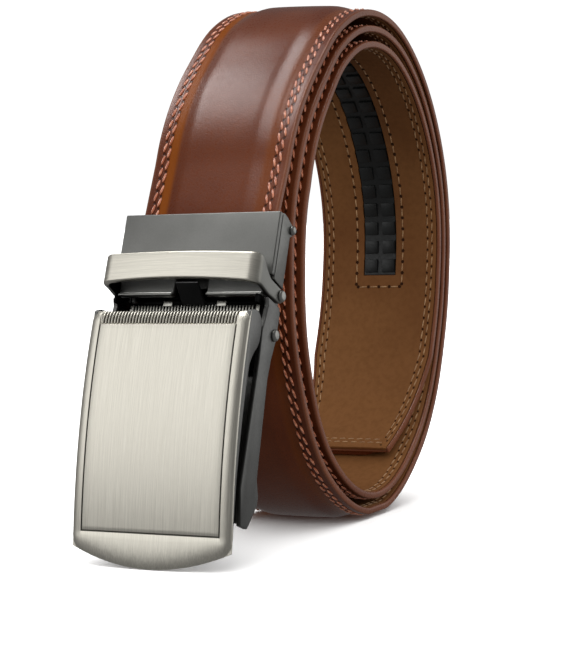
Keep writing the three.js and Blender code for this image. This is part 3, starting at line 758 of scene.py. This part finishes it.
def in_line(centre, normal):
    """Whether a face lies on the engraved line."""
    x, y = abs(centre.x), centre.y
    upright = LINE_X - LINE_WIDTH < x < LINE_X and 1 < y < LINE_FOOT
    level = LINE_FOOT - LINE_WIDTH < y < LINE_FOOT and x < LINE_X
    return normal.z > 0.9 and centre.z > -0.1 and (upright or level)


open_with(lid, "FACE", in_line)
bpy.ops.mesh.extrude_region_move(TRANSFORM_OT_translate={"value": (0, 0, -LINE_DEPTH)})
bpy.ops.object.mode_set(mode="OBJECT")
reshape(lid, pillow)
soften(lid, 0.1, 2, 40)
keep_flat_place(lid)
reshape(lid, on_lid)
print("lid:", len(lid.data.polygons), "faces")

# %% [markdown]
# ### Grip ridges
#
# Forty-four small ribs run over the lid's top edge, where a finger lifts it. They stand in a sunken
# band, which the lid's finish darkens with painted shade, so that dark gaps show between them. One
# rib is an eight-sided rod that is extruded up the lid's face and over its rounded shoulder. An Array
# modifier sets the others beside it.

# %% Grip ridges
RIDGES, RIDGE_PITCH = 44, 0.784
nothing_selected()
bpy.ops.mesh.primitive_circle_add(vertices=8, radius=0.25, fill_type="NGON",
                                  location=(-(RIDGES - 1) * RIDGE_PITCH / 2, 3.05, -0.2),
                                  rotation=(math.radians(90), math.radians(22.5), 0))
ridge = named("lid_ridges")
open_with(ridge, "FACE", lambda centre, normal: True)
stops = [3.05, 2.0, 1.5, 1.0, 0.6, 0.3, 0.1, 0.0]
for start, stop in zip(stops, stops[1:]):
    fall = edge_drop(EDGE_ROUND - stop) - edge_drop(EDGE_ROUND - start)
    bpy.ops.mesh.extrude_region_move(TRANSFORM_OT_translate={"value": (0, stop - start, -fall)})
bpy.ops.object.mode_set(mode="OBJECT")
faces_outwards(ridge)
repeated(ridge, RIDGES, RIDGE_PITCH, 0, 0)
keep_flat_place(ridge)
reshape(ridge, on_lid)
seat(ridge, 50)

# %% [markdown]
# ### Lid flanges
#
# A flange hangs from each side of the lid and carries its ears. Its front edge follows the lid's bow,
# so its outline takes its points from `on_lid`. Its upper end is a rounded lobe beside the ridges.

# %% Lid flanges
flange = []
for share in np.arange(0.03, 0.96, 0.115):
    spot = on_lid(SIDE, share * LID_LENGTH, -1.16)
    flange.append((spot.y, spot.z))
for share in np.arange(0.95, 0.28, -0.13):
    depth = 3.4 - 1.9 * (share - 0.28) / 0.67
    spot = on_lid(SIDE, share * LID_LENGTH, -depth)
    flange.append((spot.y, spot.z))
flange += [(-9.3, -9.5), (-8.6, -7.6), (-7.9, -6.3), (-6.9, -5.0), (-6.25, -3.6), (-6.08, -2.0),
           (-6.1, -0.8), (-6.3, 0.4), (-6.85, 1.7), (-7.6, 2.45), (-8.5, 2.95), (-9.4, 3.05),
           (-10.6, 2.8), (-11.7, 2.35), (-12.3, 1.9)]
flanges = [punched("flange", flange, side * (LID_WIDTH / 2 - 1.0), side * (LID_WIDTH / 2 - 0.01), 0.2, 2)
           for side in (-1, 1)]
lid_flanges = joined(flanges, "lid_flanges")
seat(lid)
seat(lid_flanges)

# %% [markdown]
# ## The parts behind the lid
#
# The pawl's bracket, the spring tongue and the pins are small and mostly hidden, but they are seen
# from above and behind. A deep black sleeve on the loop pin fills the space below the clamp's wall, a
# dark piece that stands in for the shade there. The pins' round heads are short cylinders with a wide
# bevel, which makes a dome.

# %% Bracket and pawl
def lid_back(share):
    """How far back the lid's rear face lies, at that share of its length."""
    return on_lid(0, share * LID_LENGTH, -LID_THICKNESS).y


bracket_front = max(lid_back(0), lid_back(0.27)) + FIT
bracket_rear = bracket_front + 0.8
bracket_top = 0.6
ear = [(bracket_front, bracket_top), (-1, 2.0), (1.3, 1.3), (2, 0), (1.3, -1.3), (0, -2), (-4, -5),
       (bracket_front + 0.4, -9)]
bracket_parts = [slab("plate", -18.7, 18.7, bracket_front, bracket_rear, bracket_top - 12, bracket_top),
                 punched("ear", ear, -18.69, -17.89), punched("ear", ear, 17.89, 18.69),
                 punched("pawl", [(bracket_rear - 0.3, -5.5), (bracket_rear - 0.3, -10.5),
                                  (bracket_rear + 2.2, -9)], -5, 5)]
bracket = joined(bracket_parts, "pawl_and_ears")
drilled(bracket, 1.15, 0, 0)
seat(bracket)

# %% Sleeve round the loop pin
# A deep black piece that stands in for the shade below the clamp's wall.
sleeve = rod("loop_pin_shade_sleeve", 1.9, 32.6, LOOP_PIN_Y, LOOP_PIN_Z, 32)
soften(sleeve, 0.2, 2, 60)
seat(sleeve)

# %% Spring tongue
TONGUE_HALF, TONGUE_ROOT = 2.85, GUIDE_FRONT + 0.1
tongue = punched("tongue", [(-7.65, 10.1), (-3.1, 6.45), (TONGUE_ROOT, 6.45), (TONGUE_ROOT, 6.95),
                            (-7.2, 10.5)], -TONGUE_HALF, TONGUE_HALF, 0.12, 3)
seat(tongue)


# %% Pins and rivets with domed heads
def domed_pin(name, y, z, shaft, head, reach, rise):
    """A pin across the buckle with a domed head at both ends."""
    parts = [rod(name, shaft, 2 * reach + 0.1, y, z)]
    for side in (-1, 1):
        cap = rod("cap", head, rise, y, z, 28, side * (reach + rise / 2))
        open_with(cap, "EDGE", lambda a, b: min(side * a.x, side * b.x) > reach + rise - 0.01)
        bpy.ops.mesh.bevel(offset=rise * 0.92, segments=5, affect="EDGES")
        bpy.ops.object.mode_set(mode="OBJECT")
        parts.append(cap)
    return seat(joined(parts, name), 50)


loop_pin = domed_pin("loop_pin_domed", LOOP_PIN_Y, LOOP_PIN_Z, 0.9, 1.4, SIDE + 0.1, 0.7)
lid_pin = domed_pin("lid_pin_domed", 0, 0, 0.85, 1.4, SIDE + 0.1, 0.7)
jaw = domed_pin("jaw_bar_riveted", JAW_Y, JAW_Z, 0.7, 1.1, SIDE + 0.1, 0.7)
jaw_roller = rod("roller", 1.25, 2 * (INSIDE - FIT), JAW_Y, JAW_Z)
soften(jaw_roller, 0.15, 2, 60)
seat(jaw_roller)
jaw = joined([jaw, jaw_roller], "jaw_bar_riveted")

# %% [markdown]
# ## Finishes
#
# Every finish is a small tree of shader nodes. `Finish` keeps the calls short: it adds a node, feeds
# its sockets and returns an output. Patterns read either the object's own coordinates, in metres, or
# the attribute "flat" from above, in millimetres, so that brushing runs along a bent bar and the
# colour of the leather follows the strap round the coil.


# %% A helper for shader nodes
def srgb(red, green, blue):
    """A colour as an eye or a colour picker sees it, made linear for a shader."""
    linear = [v / 12.92 if v <= 0.04045 else ((v + 0.055) / 1.055) ** 2.4
              for v in (red / 255, green / 255, blue / 255)]
    return (*linear, 1)


class Finish:
    """One material and the calls that build its nodes."""

    def __init__(self, name):
        self.material = bpy.data.materials.new(name)
        self.material.use_nodes = True
        self.tree = self.material.node_tree
        self.shader = self.tree.nodes["Principled BSDF"]

    def feed(self, socket, value):
        if isinstance(value, bpy.types.NodeSocket):
            self.tree.links.new(value, socket)
        else:
            socket.default_value = value

    def set(self, **values):
        for key, value in values.items():
            self.feed(self.shader.inputs[key.replace("_", " ")], value)

    def node(self, kind, sockets=(), **settings):
        node = self.tree.nodes.new(kind)
        for key, value in settings.items():
            setattr(node, key, value)
        for key, value in dict(sockets).items():
            self.feed(node.inputs[key], value)
        return node

    def calc(self, operation, *values):
        return self.node("ShaderNodeMath", enumerate(values), operation=operation).outputs[0]

    def times(self, a, b):
        return self.calc("MULTIPLY", a, b)

    def step(self, value, low, high, start=0.0, end=1.0):
        """A soft step from start to end while the value goes from low to high."""
        return self.node("ShaderNodeMapRange", {"Value": value, "From Min": low, "From Max": high,
                                                "To Min": start, "To Max": end},
                         interpolation_type="SMOOTHSTEP").outputs[0]

    def mix(self, share, a, b):
        mix = self.node("ShaderNodeMix", data_type="RGBA")
        for socket, value in zip((mix.inputs[0], mix.inputs[6], mix.inputs[7]), (share, a, b)):
            self.feed(socket, value)
        return mix.outputs[2]

    def noise(self, vector, scale, detail=2.0, roughness=0.5):
        return self.node("ShaderNodeTexNoise", {"Vector": vector, "Scale": scale, "Detail": detail,
                                                "Roughness": roughness}).outputs["Fac"]

    def place(self):
        return self.node("ShaderNodeTexCoord").outputs["Object"]

    def flat(self):
        vector = self.node("ShaderNodeAttribute", attribute_name="flat").outputs["Vector"]
        return vector, self.node("ShaderNodeSeparateXYZ", {0: vector}).outputs

    def stretched(self, vector, x, y, z):
        return self.node("ShaderNodeVectorMath", {0: vector, 1: (x, y, z)}, operation="MULTIPLY").outputs[0]

    def bump(self, height, depth=0.001, strength=1.0):
        normal = self.node("ShaderNodeBump", {"Height": height, "Distance": depth, "Strength": strength})
        self.feed(self.shader.inputs["Normal"], normal.outputs[0])

    def dress(self, *pieces):
        for piece in pieces:
            piece.data.materials.clear()
            piece.data.materials.append(self.material)


def near_hole(finish, x, y, row, start, pitch, radius):
    """1 in a needle hole of a stitch row and 0 away from it."""
    aside = finish.calc("SUBTRACT", x, row)
    off = finish.calc("PINGPONG", finish.calc("SUBTRACT", y, start), pitch / 2)
    square = finish.calc("ADD", finish.times(aside, aside), finish.times(off, off))
    return finish.step(finish.calc("SQRT", square), radius * 0.55, radius, 1.0, 0.0)


def row_start(start, end, pitch):
    """Where the first hole of a row lies, as stitch_row shares out what is left over."""
    return start + (end - start - int((end - start) / pitch) * pitch) / 2


# %% [markdown]
# ### Leather
#
# The outer leather is a polished cognac calf: a fine even grain, a slow change of tone along the
# strap and a thin clear coat that gives it a soft gloss. Where the padding starts, the dye was rubbed
# thin and shows a duller orange-brown, more on the left edge than on the right. The rim is painted in a
# mauve-brown. All three are one material, which picks the colour by the place across the strap.

# %% Outer leather
hide = Finish("cognac_calf")
vector, (x, y, z) = hide.flat()
edge = hide.calc("ABSOLUTE", x)
place = hide.place()
tone = hide.noise(place, 38, 3)
fine = hide.noise(place, 1500, 4, 0.65)
colour = hide.mix(hide.step(tone, 0.35, 0.65), srgb(92, 43, 23), srgb(108, 55, 31))
colour = hide.mix(hide.times(hide.step(fine, 0.35, 0.75), 0.35), colour, srgb(78, 38, 23))
rubbed = hide.times(hide.step(edge, 10.6, 12.2), hide.step(edge, 13.3, 14.6, 1.0, 0.0))
rubbed = hide.times(rubbed, hide.step(x, -6.0, 6.0, 1.0, 0.35))
rubbed = hide.times(rubbed, hide.step(hide.noise(place, 60), 0.2, 0.55, 0.55, 0.95))
colour = hide.mix(rubbed, colour, srgb(134, 71, 24))
holes = None
for number, row in enumerate(STITCH_ROWS):
    first = row_start(*row_ends(number), OUTER_PITCH)
    hole = near_hole(hide, edge, y, row, first, OUTER_PITCH, 0.44)
    holes = hole if holes is None else hide.calc("MAXIMUM", holes, hole)
holes = hide.times(holes, hide.step(z, -0.6, -0.3))
colour = hide.mix(hide.times(holes, 0.8), colour, srgb(38, 15, 9))
rim = hide.calc("MAXIMUM", hide.step(edge, 16.75, 17.05), hide.step(z, -0.55, -0.35, 1.0, 0.0))
paint = hide.mix(hide.step(tone, 0.35, 0.65), srgb(110, 64, 44), srgb(122, 74, 52))
colour = hide.mix(rim, colour, paint)
pores = hide.node("ShaderNodeTexVoronoi", {"Vector": place, "Scale": 2400.0}).outputs["Distance"]
height = hide.calc("ADD", hide.times(fine, 0.05), hide.times(pores, 0.035))
height = hide.calc("SUBTRACT", height, hide.times(holes, 0.35))
hide.set(Base_Color=colour, Roughness=hide.step(fine, 0.3, 0.8, 0.26, 0.34), Coat_Roughness=0.25)
hide.set(Coat_Weight=hide.step(rubbed, 0.0, 0.9, 0.04, 0.0))
hide.set(Specular_IOR_Level=hide.step(rubbed, 0.0, 0.9, 0.12, 0.02))
hide.bump(height, 0.0004)
hide.dress(leather)

# %% Lining
split = Finish("tan_lining")
vector, (x, y, z) = split.flat()
edge = split.calc("ABSOLUTE", x)
place = split.place()
tone = split.noise(place, 30, 3)
fine = split.noise(place, 700, 4, 0.6)
colour = split.mix(split.step(tone, 0.3, 0.7), srgb(110, 70, 40), srgb(127, 85, 50))
colour = split.mix(split.times(split.step(fine, 0.35, 0.75), 0.25), colour, srgb(84, 52, 28))
holes = None
for number, row in enumerate(STITCH_ROWS):
    first = row_start(*row_ends(number), INNER_PITCH)
    hole = near_hole(split, edge, y, row, first, INNER_PITCH, 0.38)
    holes = hole if holes is None else split.calc("MAXIMUM", holes, hole)
beside = near_hole(split, edge, y, WINDOW_ROW, row_start(*WINDOW_ENDS, WINDOW_PITCH), WINDOW_PITCH, 0.55)
within = split.times(split.step(y, TRACK_START - 4.2, TRACK_START - 4.0),
                    split.step(y, TRACK_END + 4.0, TRACK_END + 4.2, 1.0, 0.0))
holes = split.calc("MAXIMUM", holes, split.times(beside, within))
first = row_start(-WINDOW_ROW, WINDOW_ROW, WINDOW_PITCH)
reach = split.step(edge, WINDOW_ROW + 0.3, WINDOW_ROW + 0.5, 1.0, 0.0)
for end in WINDOW_ENDS:
    across = near_hole(split, y, x, end, first, WINDOW_PITCH, 0.55)
    holes = split.calc("MAXIMUM", holes, split.times(across, reach))
holes = split.times(holes, split.step(z, -1.65, -1.5, 1.0, 0.0))
colour = split.mix(split.times(holes, 0.9), colour, srgb(38, 18, 10))
split.set(Base_Color=colour, Roughness=split.step(fine, 0.3, 0.8, 0.55, 0.7), Specular_IOR_Level=0.08)
split.bump(split.calc("SUBTRACT", split.times(fine, 0.04), split.times(holes, 0.3)))
split.dress(lining)


# %% Thread
def thread_finish(name, light, dark, gloss):
    """Waxed thread: two tones and a fine twist."""
    thread = Finish(name)
    vector, (x, y, z) = thread.flat()
    slant = thread.calc("ADD", x, thread.times(y, 0.6))
    twist = thread.calc("SINE", thread.times(slant, 14.0))
    tone = thread.noise(vector, 0.9, 2)
    thread.set(Base_Color=thread.mix(thread.step(tone, 0.3, 0.7), dark, light), Roughness=gloss,
               Sheen_Weight=0.25, Sheen_Roughness=0.4)
    thread.bump(thread.times(twist, 0.04))
    return thread


outer_waxed = thread_finish("orange_brown_thread", srgb(224, 148, 114), srgb(184, 102, 70), 0.4)
outer_waxed.dress(outer_thread)
inner_waxed = thread_finish("beige_thread", srgb(186, 146, 104), srgb(150, 110, 74), 0.55)
inner_waxed.dress(inner_thread)

# %% [markdown]
# ### Metals and plastic
#
# The lid and the keeper loop are nickel-plated and brushed: fine scratches that run down the lid and
# along the loop. Noise that is stretched some sixtyfold in one direction makes them, and it drives the
# roughness, the colour and a shallow bump together, as real brushing changes all three. Painted shade
# darkens the lid's engraved line and ridge band and the loop's arms and inner faces. The clamp and the
# frame have a darker, satin gunmetal plating with no direction, and the parts inside are black. The
# guide plate and the loop pin's sleeve are a deeper black that stands in for the shade inside the buckle,
# and the clamp's lip wears a brighter steel as a painted highlight.


# %% Brushed nickel
def brushed_nickel(name, light, dark, *overlays):
    """Nickel with scratches along the flat y direction; an overlay is a share and its colour."""
    nickel = Finish(name)
    vector, (x, y, z) = nickel.flat()
    hair = nickel.noise(nickel.stretched(vector, 5.0, 0.08, 5.0), 1.0, 5, 0.75)
    broad = nickel.noise(nickel.stretched(vector, 1.6, 0.03, 1.6), 1.0, 2)
    colour = nickel.mix(nickel.step(hair, 0.3, 0.7), dark, light)
    colour = nickel.mix(nickel.times(nickel.step(broad, 0.35, 0.7), 0.3), colour, dark)
    for share, shade_colour in overlays:
        colour = nickel.mix(share(nickel, x, y, z), colour, shade_colour)
    nickel.set(Base_Color=colour, Metallic=1.0, Roughness=nickel.step(hair, 0.25, 0.75, 0.30, 0.44))
    nickel.bump(nickel.times(hair, 0.014))
    return nickel


def lid_recess_shade(nickel, x, y, z):
    """Painted shade: dark in the engraved line and in the sunken band between the grip ridges."""
    aside = nickel.calc("ABSOLUTE", x)
    line = nickel.times(nickel.step(z, -0.22, -0.1, 1.0, 0.0), nickel.step(y, 3.0, 3.4))
    line = nickel.times(line, nickel.step(aside, 17.65, 17.8, 1.0, 0.0))
    line = nickel.times(line, nickel.step(y, LINE_FOOT + 0.1, LINE_FOOT + 0.3, 1.0, 0.0))
    band = nickel.step(y, 2.9, 3.1, 1.0, 0.0)
    between = nickel.times(band, nickel.step(aside, 17.2, 17.35, 1.0, 0.0))
    return nickel.times(nickel.calc("MAXIMUM", line, between), 0.9)


def arm_shade_share(nickel, x, y, z):
    """Painted shade: the loop's arms are coloured a dull gunmetal grey for the shade the nickel lies in."""
    return nickel.step(nickel.calc("ABSOLUTE", y), front_half + 0.25 * corner, front_half + corner)


def inner_shade_share(nickel, x, y, z):
    """Painted shade: the loop's inner faces are coloured near black."""
    return nickel.step(z, -1.4, -1.15, 1.0, 0.0)


bright, dull = srgb(232, 228, 216), srgb(202, 198, 186)
# The lid's overlay is painted shade, near black in the engraved line and the ridge band.
lid_nickel = brushed_nickel("nickel_brushed_down", bright, dull, (lid_recess_shade, srgb(40, 38, 35)))
lid_nickel.dress(lid)
# The loop's overlays are painted shade: grey arms and near black inner faces.
loop_nickel = brushed_nickel("nickel_brushed_along", bright, dull, (arm_shade_share, srgb(118, 118, 114)),
                             (inner_shade_share, srgb(22, 22, 22)))
loop_nickel.dress(keeper)
ridge_nickel = brushed_nickel("nickel_ridges", srgb(228, 224, 212), srgb(196, 192, 181))
ridge_nickel.dress(ridge)


# %% Gunmetal and black plating
def satin_plating(name, light, dark, roughness, metallic=1.0):
    """A smooth plating with faint clouds and specks."""
    satin = Finish(name)
    place = satin.place()
    cloud = satin.noise(place, 120, 3)
    speck = satin.noise(place, 2400, 3, 0.6)
    colour = satin.mix(satin.step(cloud, 0.3, 0.7), dark, light)
    satin.set(Base_Color=colour, Metallic=metallic,
              Roughness=satin.step(speck, 0.3, 0.7, roughness - 0.05, roughness + 0.07))
    satin.bump(satin.times(speck, 0.012))
    return satin


gunmetal = satin_plating("gunmetal_satin", srgb(125, 125, 122), srgb(119, 119, 116), 0.42)
gunmetal.dress(clamp_plate, clamp_body)
dark_gunmetal = satin_plating("dark_gunmetal", srgb(112, 112, 110), srgb(105, 105, 103), 0.42)
dark_gunmetal.dress(frame_body, lid_flanges)
pin_steel_and_lip_highlight = satin_plating("pin_steel_and_lip_highlight", srgb(158, 158, 153), srgb(146, 146, 142), 0.36)
# On the pins this is their own steel; on the clamp's lip, the plate's rolled edge, it is a painted
# highlight.
pin_steel_and_lip_highlight.dress(loop_pin, lid_pin, jaw, clamp_lip)
black_plating = satin_plating("black_plating", srgb(44, 44, 44), srgb(34, 34, 35), 0.45, 0.6)
black_plating.dress(bracket, tongue)
shade_black = satin_plating("black_painted_shade", srgb(26, 26, 26), srgb(19, 19, 20), 0.5)
# Deep black stands in for the shade inside the buckle, on the guide plate and the loop pin's sleeve.
shade_black.dress(guide, sleeve)
tab_steel = satin_plating("bare_spring_steel", srgb(196, 194, 186), srgb(176, 174, 166), 0.35)
tab_steel.dress(tabs, guide_ribs)

# %% Moulded black plastic
plastic = Finish("black_moulded_plastic")
place = plastic.place()
grainy = plastic.noise(place, 1500, 3, 0.6)
cloud = plastic.step(plastic.noise(place, 90), 0.3, 0.7)
plastic.set(Base_Color=plastic.mix(cloud, srgb(14, 15, 15), srgb(21, 23, 23)),
            Roughness=plastic.step(grainy, 0.3, 0.7, 0.36, 0.5), Specular_IOR_Level=0.4)
plastic.bump(plastic.times(grainy, 0.02))
plastic.dress(track)

# %% [markdown]
# ## Which body carries which piece
#
# The belt has one moving part, the lid with its bracket. Every piece rides on the body of the solid
# that it stands for, and hides that solid. A piece with no solid of its own, such as a row of ridges,
# rides on its neighbour's body.

# %% Bodies and replaced solids
PIECES = [
    (leather, "belt", ["strap_leather"]), (lining, "belt", ["strap_lining"]),
    (track, "belt", ["ratchet_track"]), (outer_thread, "belt", []), (inner_thread, "belt", []),
    (clamp_plate, "belt", ["clamp_plate"]), (clamp_lip, "belt", []),
    (clamp_body, "belt", ["clamp_body"]), (jaw, "belt", ["clamp_jaw"]),
    (keeper, "belt", ["keeper_loop"]), (frame_body, "belt", ["buckle_frame"]),
    (guide, "belt", []), (guide_ribs, "belt", []), (tabs, "belt", []), (sleeve, "belt", []),
    (tongue, "belt", ["spring_tongue"]), (loop_pin, "belt", ["loop_pin"]), (lid_pin, "belt", ["lid_pin"]),
    (lid, "lid", ["lid"]), (ridge, "lid", []), (lid_flanges, "lid", []),
    (bracket, "lid", ["pawl_bracket"]),
]
for piece, body, solids in PIECES:
    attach(piece, body)
    if solids:
        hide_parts(*solids)
triangles = sum(len(face.vertices) - 2 for piece, _, _ in PIECES for face in piece.data.polygons)
print("pieces:", len(PIECES), "triangles:", triangles)

# %% [markdown]
# ## The studio
#
# The belt stands on white paper that runs on to the horizon, where it meets a white background. The
# light is that of a product photograph. A wide soft light hangs overhead, and a softbox in front and to
# the left is what the flat metal mirrors. Two smaller, stronger ones above put the broad sheen on the
# middle of the leather and the bright line on its right shoulder. A retoucher lights metal, leather and
# paper apart, and light linking does that here: a lamp can be kept to one set of pieces. The paper sends
# no light back up, so that the belt's lower half stays as dark as in the photograph.

# %% Floor
nothing_selected()
bpy.ops.mesh.primitive_plane_add(size=60, location=(0, 0, 0))
floor = named("studio_floor")
floor.visible_diffuse = False
floor.visible_glossy = False
paper = Finish("white_paper")
paper.set(Base_Color=(0.94, 0.935, 0.93, 1), Roughness=0.9, Specular_IOR_Level=0.0)
paper.dress(floor)


# %% Lights
def lamp(name, kind, position, target, sheen=True, fill=True, only=None, **settings):
    """An unseen lamp; sheen and fill say whether it reaches gloss and dull colour, only names its set."""
    light = bpy.data.lights.new(name, kind)
    for key, value in settings.items():
        setattr(light, key, value)
    stand = bpy.data.objects.new(name, light)
    bpy.context.scene.collection.objects.link(stand)
    aim = (Vector(target) - Vector(position)).to_track_quat("-Z", "Y")
    stand.matrix_world = Matrix.Translation(position) @ aim.to_matrix().to_4x4()
    stand.visible_camera = False
    stand.visible_glossy = sheen
    stand.visible_diffuse = fill
    if only is not None:
        stand.light_linking.receiver_collection = only


def softbox(name, position, target, width, height, brightness, **settings):
    """A rectangular light whose face is as bright as the number says, white paper being about 1."""
    lamp(name, "AREA", position, target, shape="RECTANGLE", size=width, size_y=height,
         energy=brightness * math.pi * width * height, **settings)


def group(name, *pieces):
    """A set of pieces that a lamp can be kept to."""
    together = bpy.data.collections.new(name)
    for piece in pieces:
        together.objects.link(piece)
    return together


metals = group("metals", clamp_plate, clamp_lip, clamp_body, jaw, keeper, frame_body, guide, guide_ribs,
               tabs, sleeve, tongue, loop_pin, lid_pin, lid, ridge, lid_flanges, bracket, track)
leathers = group("leathers", leather, outer_thread)
paper_only = group("paper", floor)
lamp("overhead", "SUN", (-0.25, -0.25, 1), (0, 0, 0), sheen=False, angle=math.radians(100), energy=1.85)
lamp("paper_light", "SUN", (-0.1, -0.1, 1), (0, 0, 0), only=paper_only, angle=math.radians(110), energy=3.6)
softbox("front_fill", (-0.45, -0.92, 0.42), (0, -0.05, 0.06), 0.85, 0.8, 0.9, sheen=False)
softbox("side_fill", (0.75, -0.45, 0.35), (0, 0, 0.06), 0.6, 0.6, 3.0, sheen=False)
softbox("rear_right_box", (0.62, 0.62, 0.25), (0, 0, 0.06), 1.0, 0.7, 0.9)
softbox("front_box", (-0.52, -0.84, 0.47), (0, -0.05, 0.06), 1.0, 0.76, 1.12, only=metals)
softbox("metal_top_box", (-0.20, -0.08, 0.86), (0, 0, 0.1), 0.7, 0.5, 4.5, only=metals)
softbox("leather_top_box", (-0.40, -0.095, 0.80), (0, 0, 0.1), 0.42, 0.31, 15.0, fill=False, only=leathers)
softbox("shoulder_box", (0.05, -0.17, 0.9), (0.05, -0.17, 0.1), 0.22, 0.72, 21.0, fill=False, only=leathers)

# %% Background
world = bpy.data.worlds.new("studio")
bpy.context.scene.world = world
world.use_nodes = True
nodes, links = world.node_tree.nodes, world.node_tree.links
fill = nodes["Background"]
fill.inputs["Color"].default_value = (1, 1, 1, 1)
fill.inputs["Strength"].default_value = 0.2
seen = nodes.new("ShaderNodeBackground")
seen.inputs["Color"].default_value = (1, 1, 1, 1)
seen.inputs["Strength"].default_value = 1.05
either = nodes.new("ShaderNodeMixShader")
links.new(nodes.new("ShaderNodeLightPath").outputs["Is Camera Ray"], either.inputs[0])
links.new(fill.outputs[0], either.inputs[1])
links.new(seen.outputs[0], either.inputs[2])
links.new(either.outputs[0], nodes["World Output"].inputs["Surface"])
bpy.context.scene.view_settings.view_transform = "Standard"
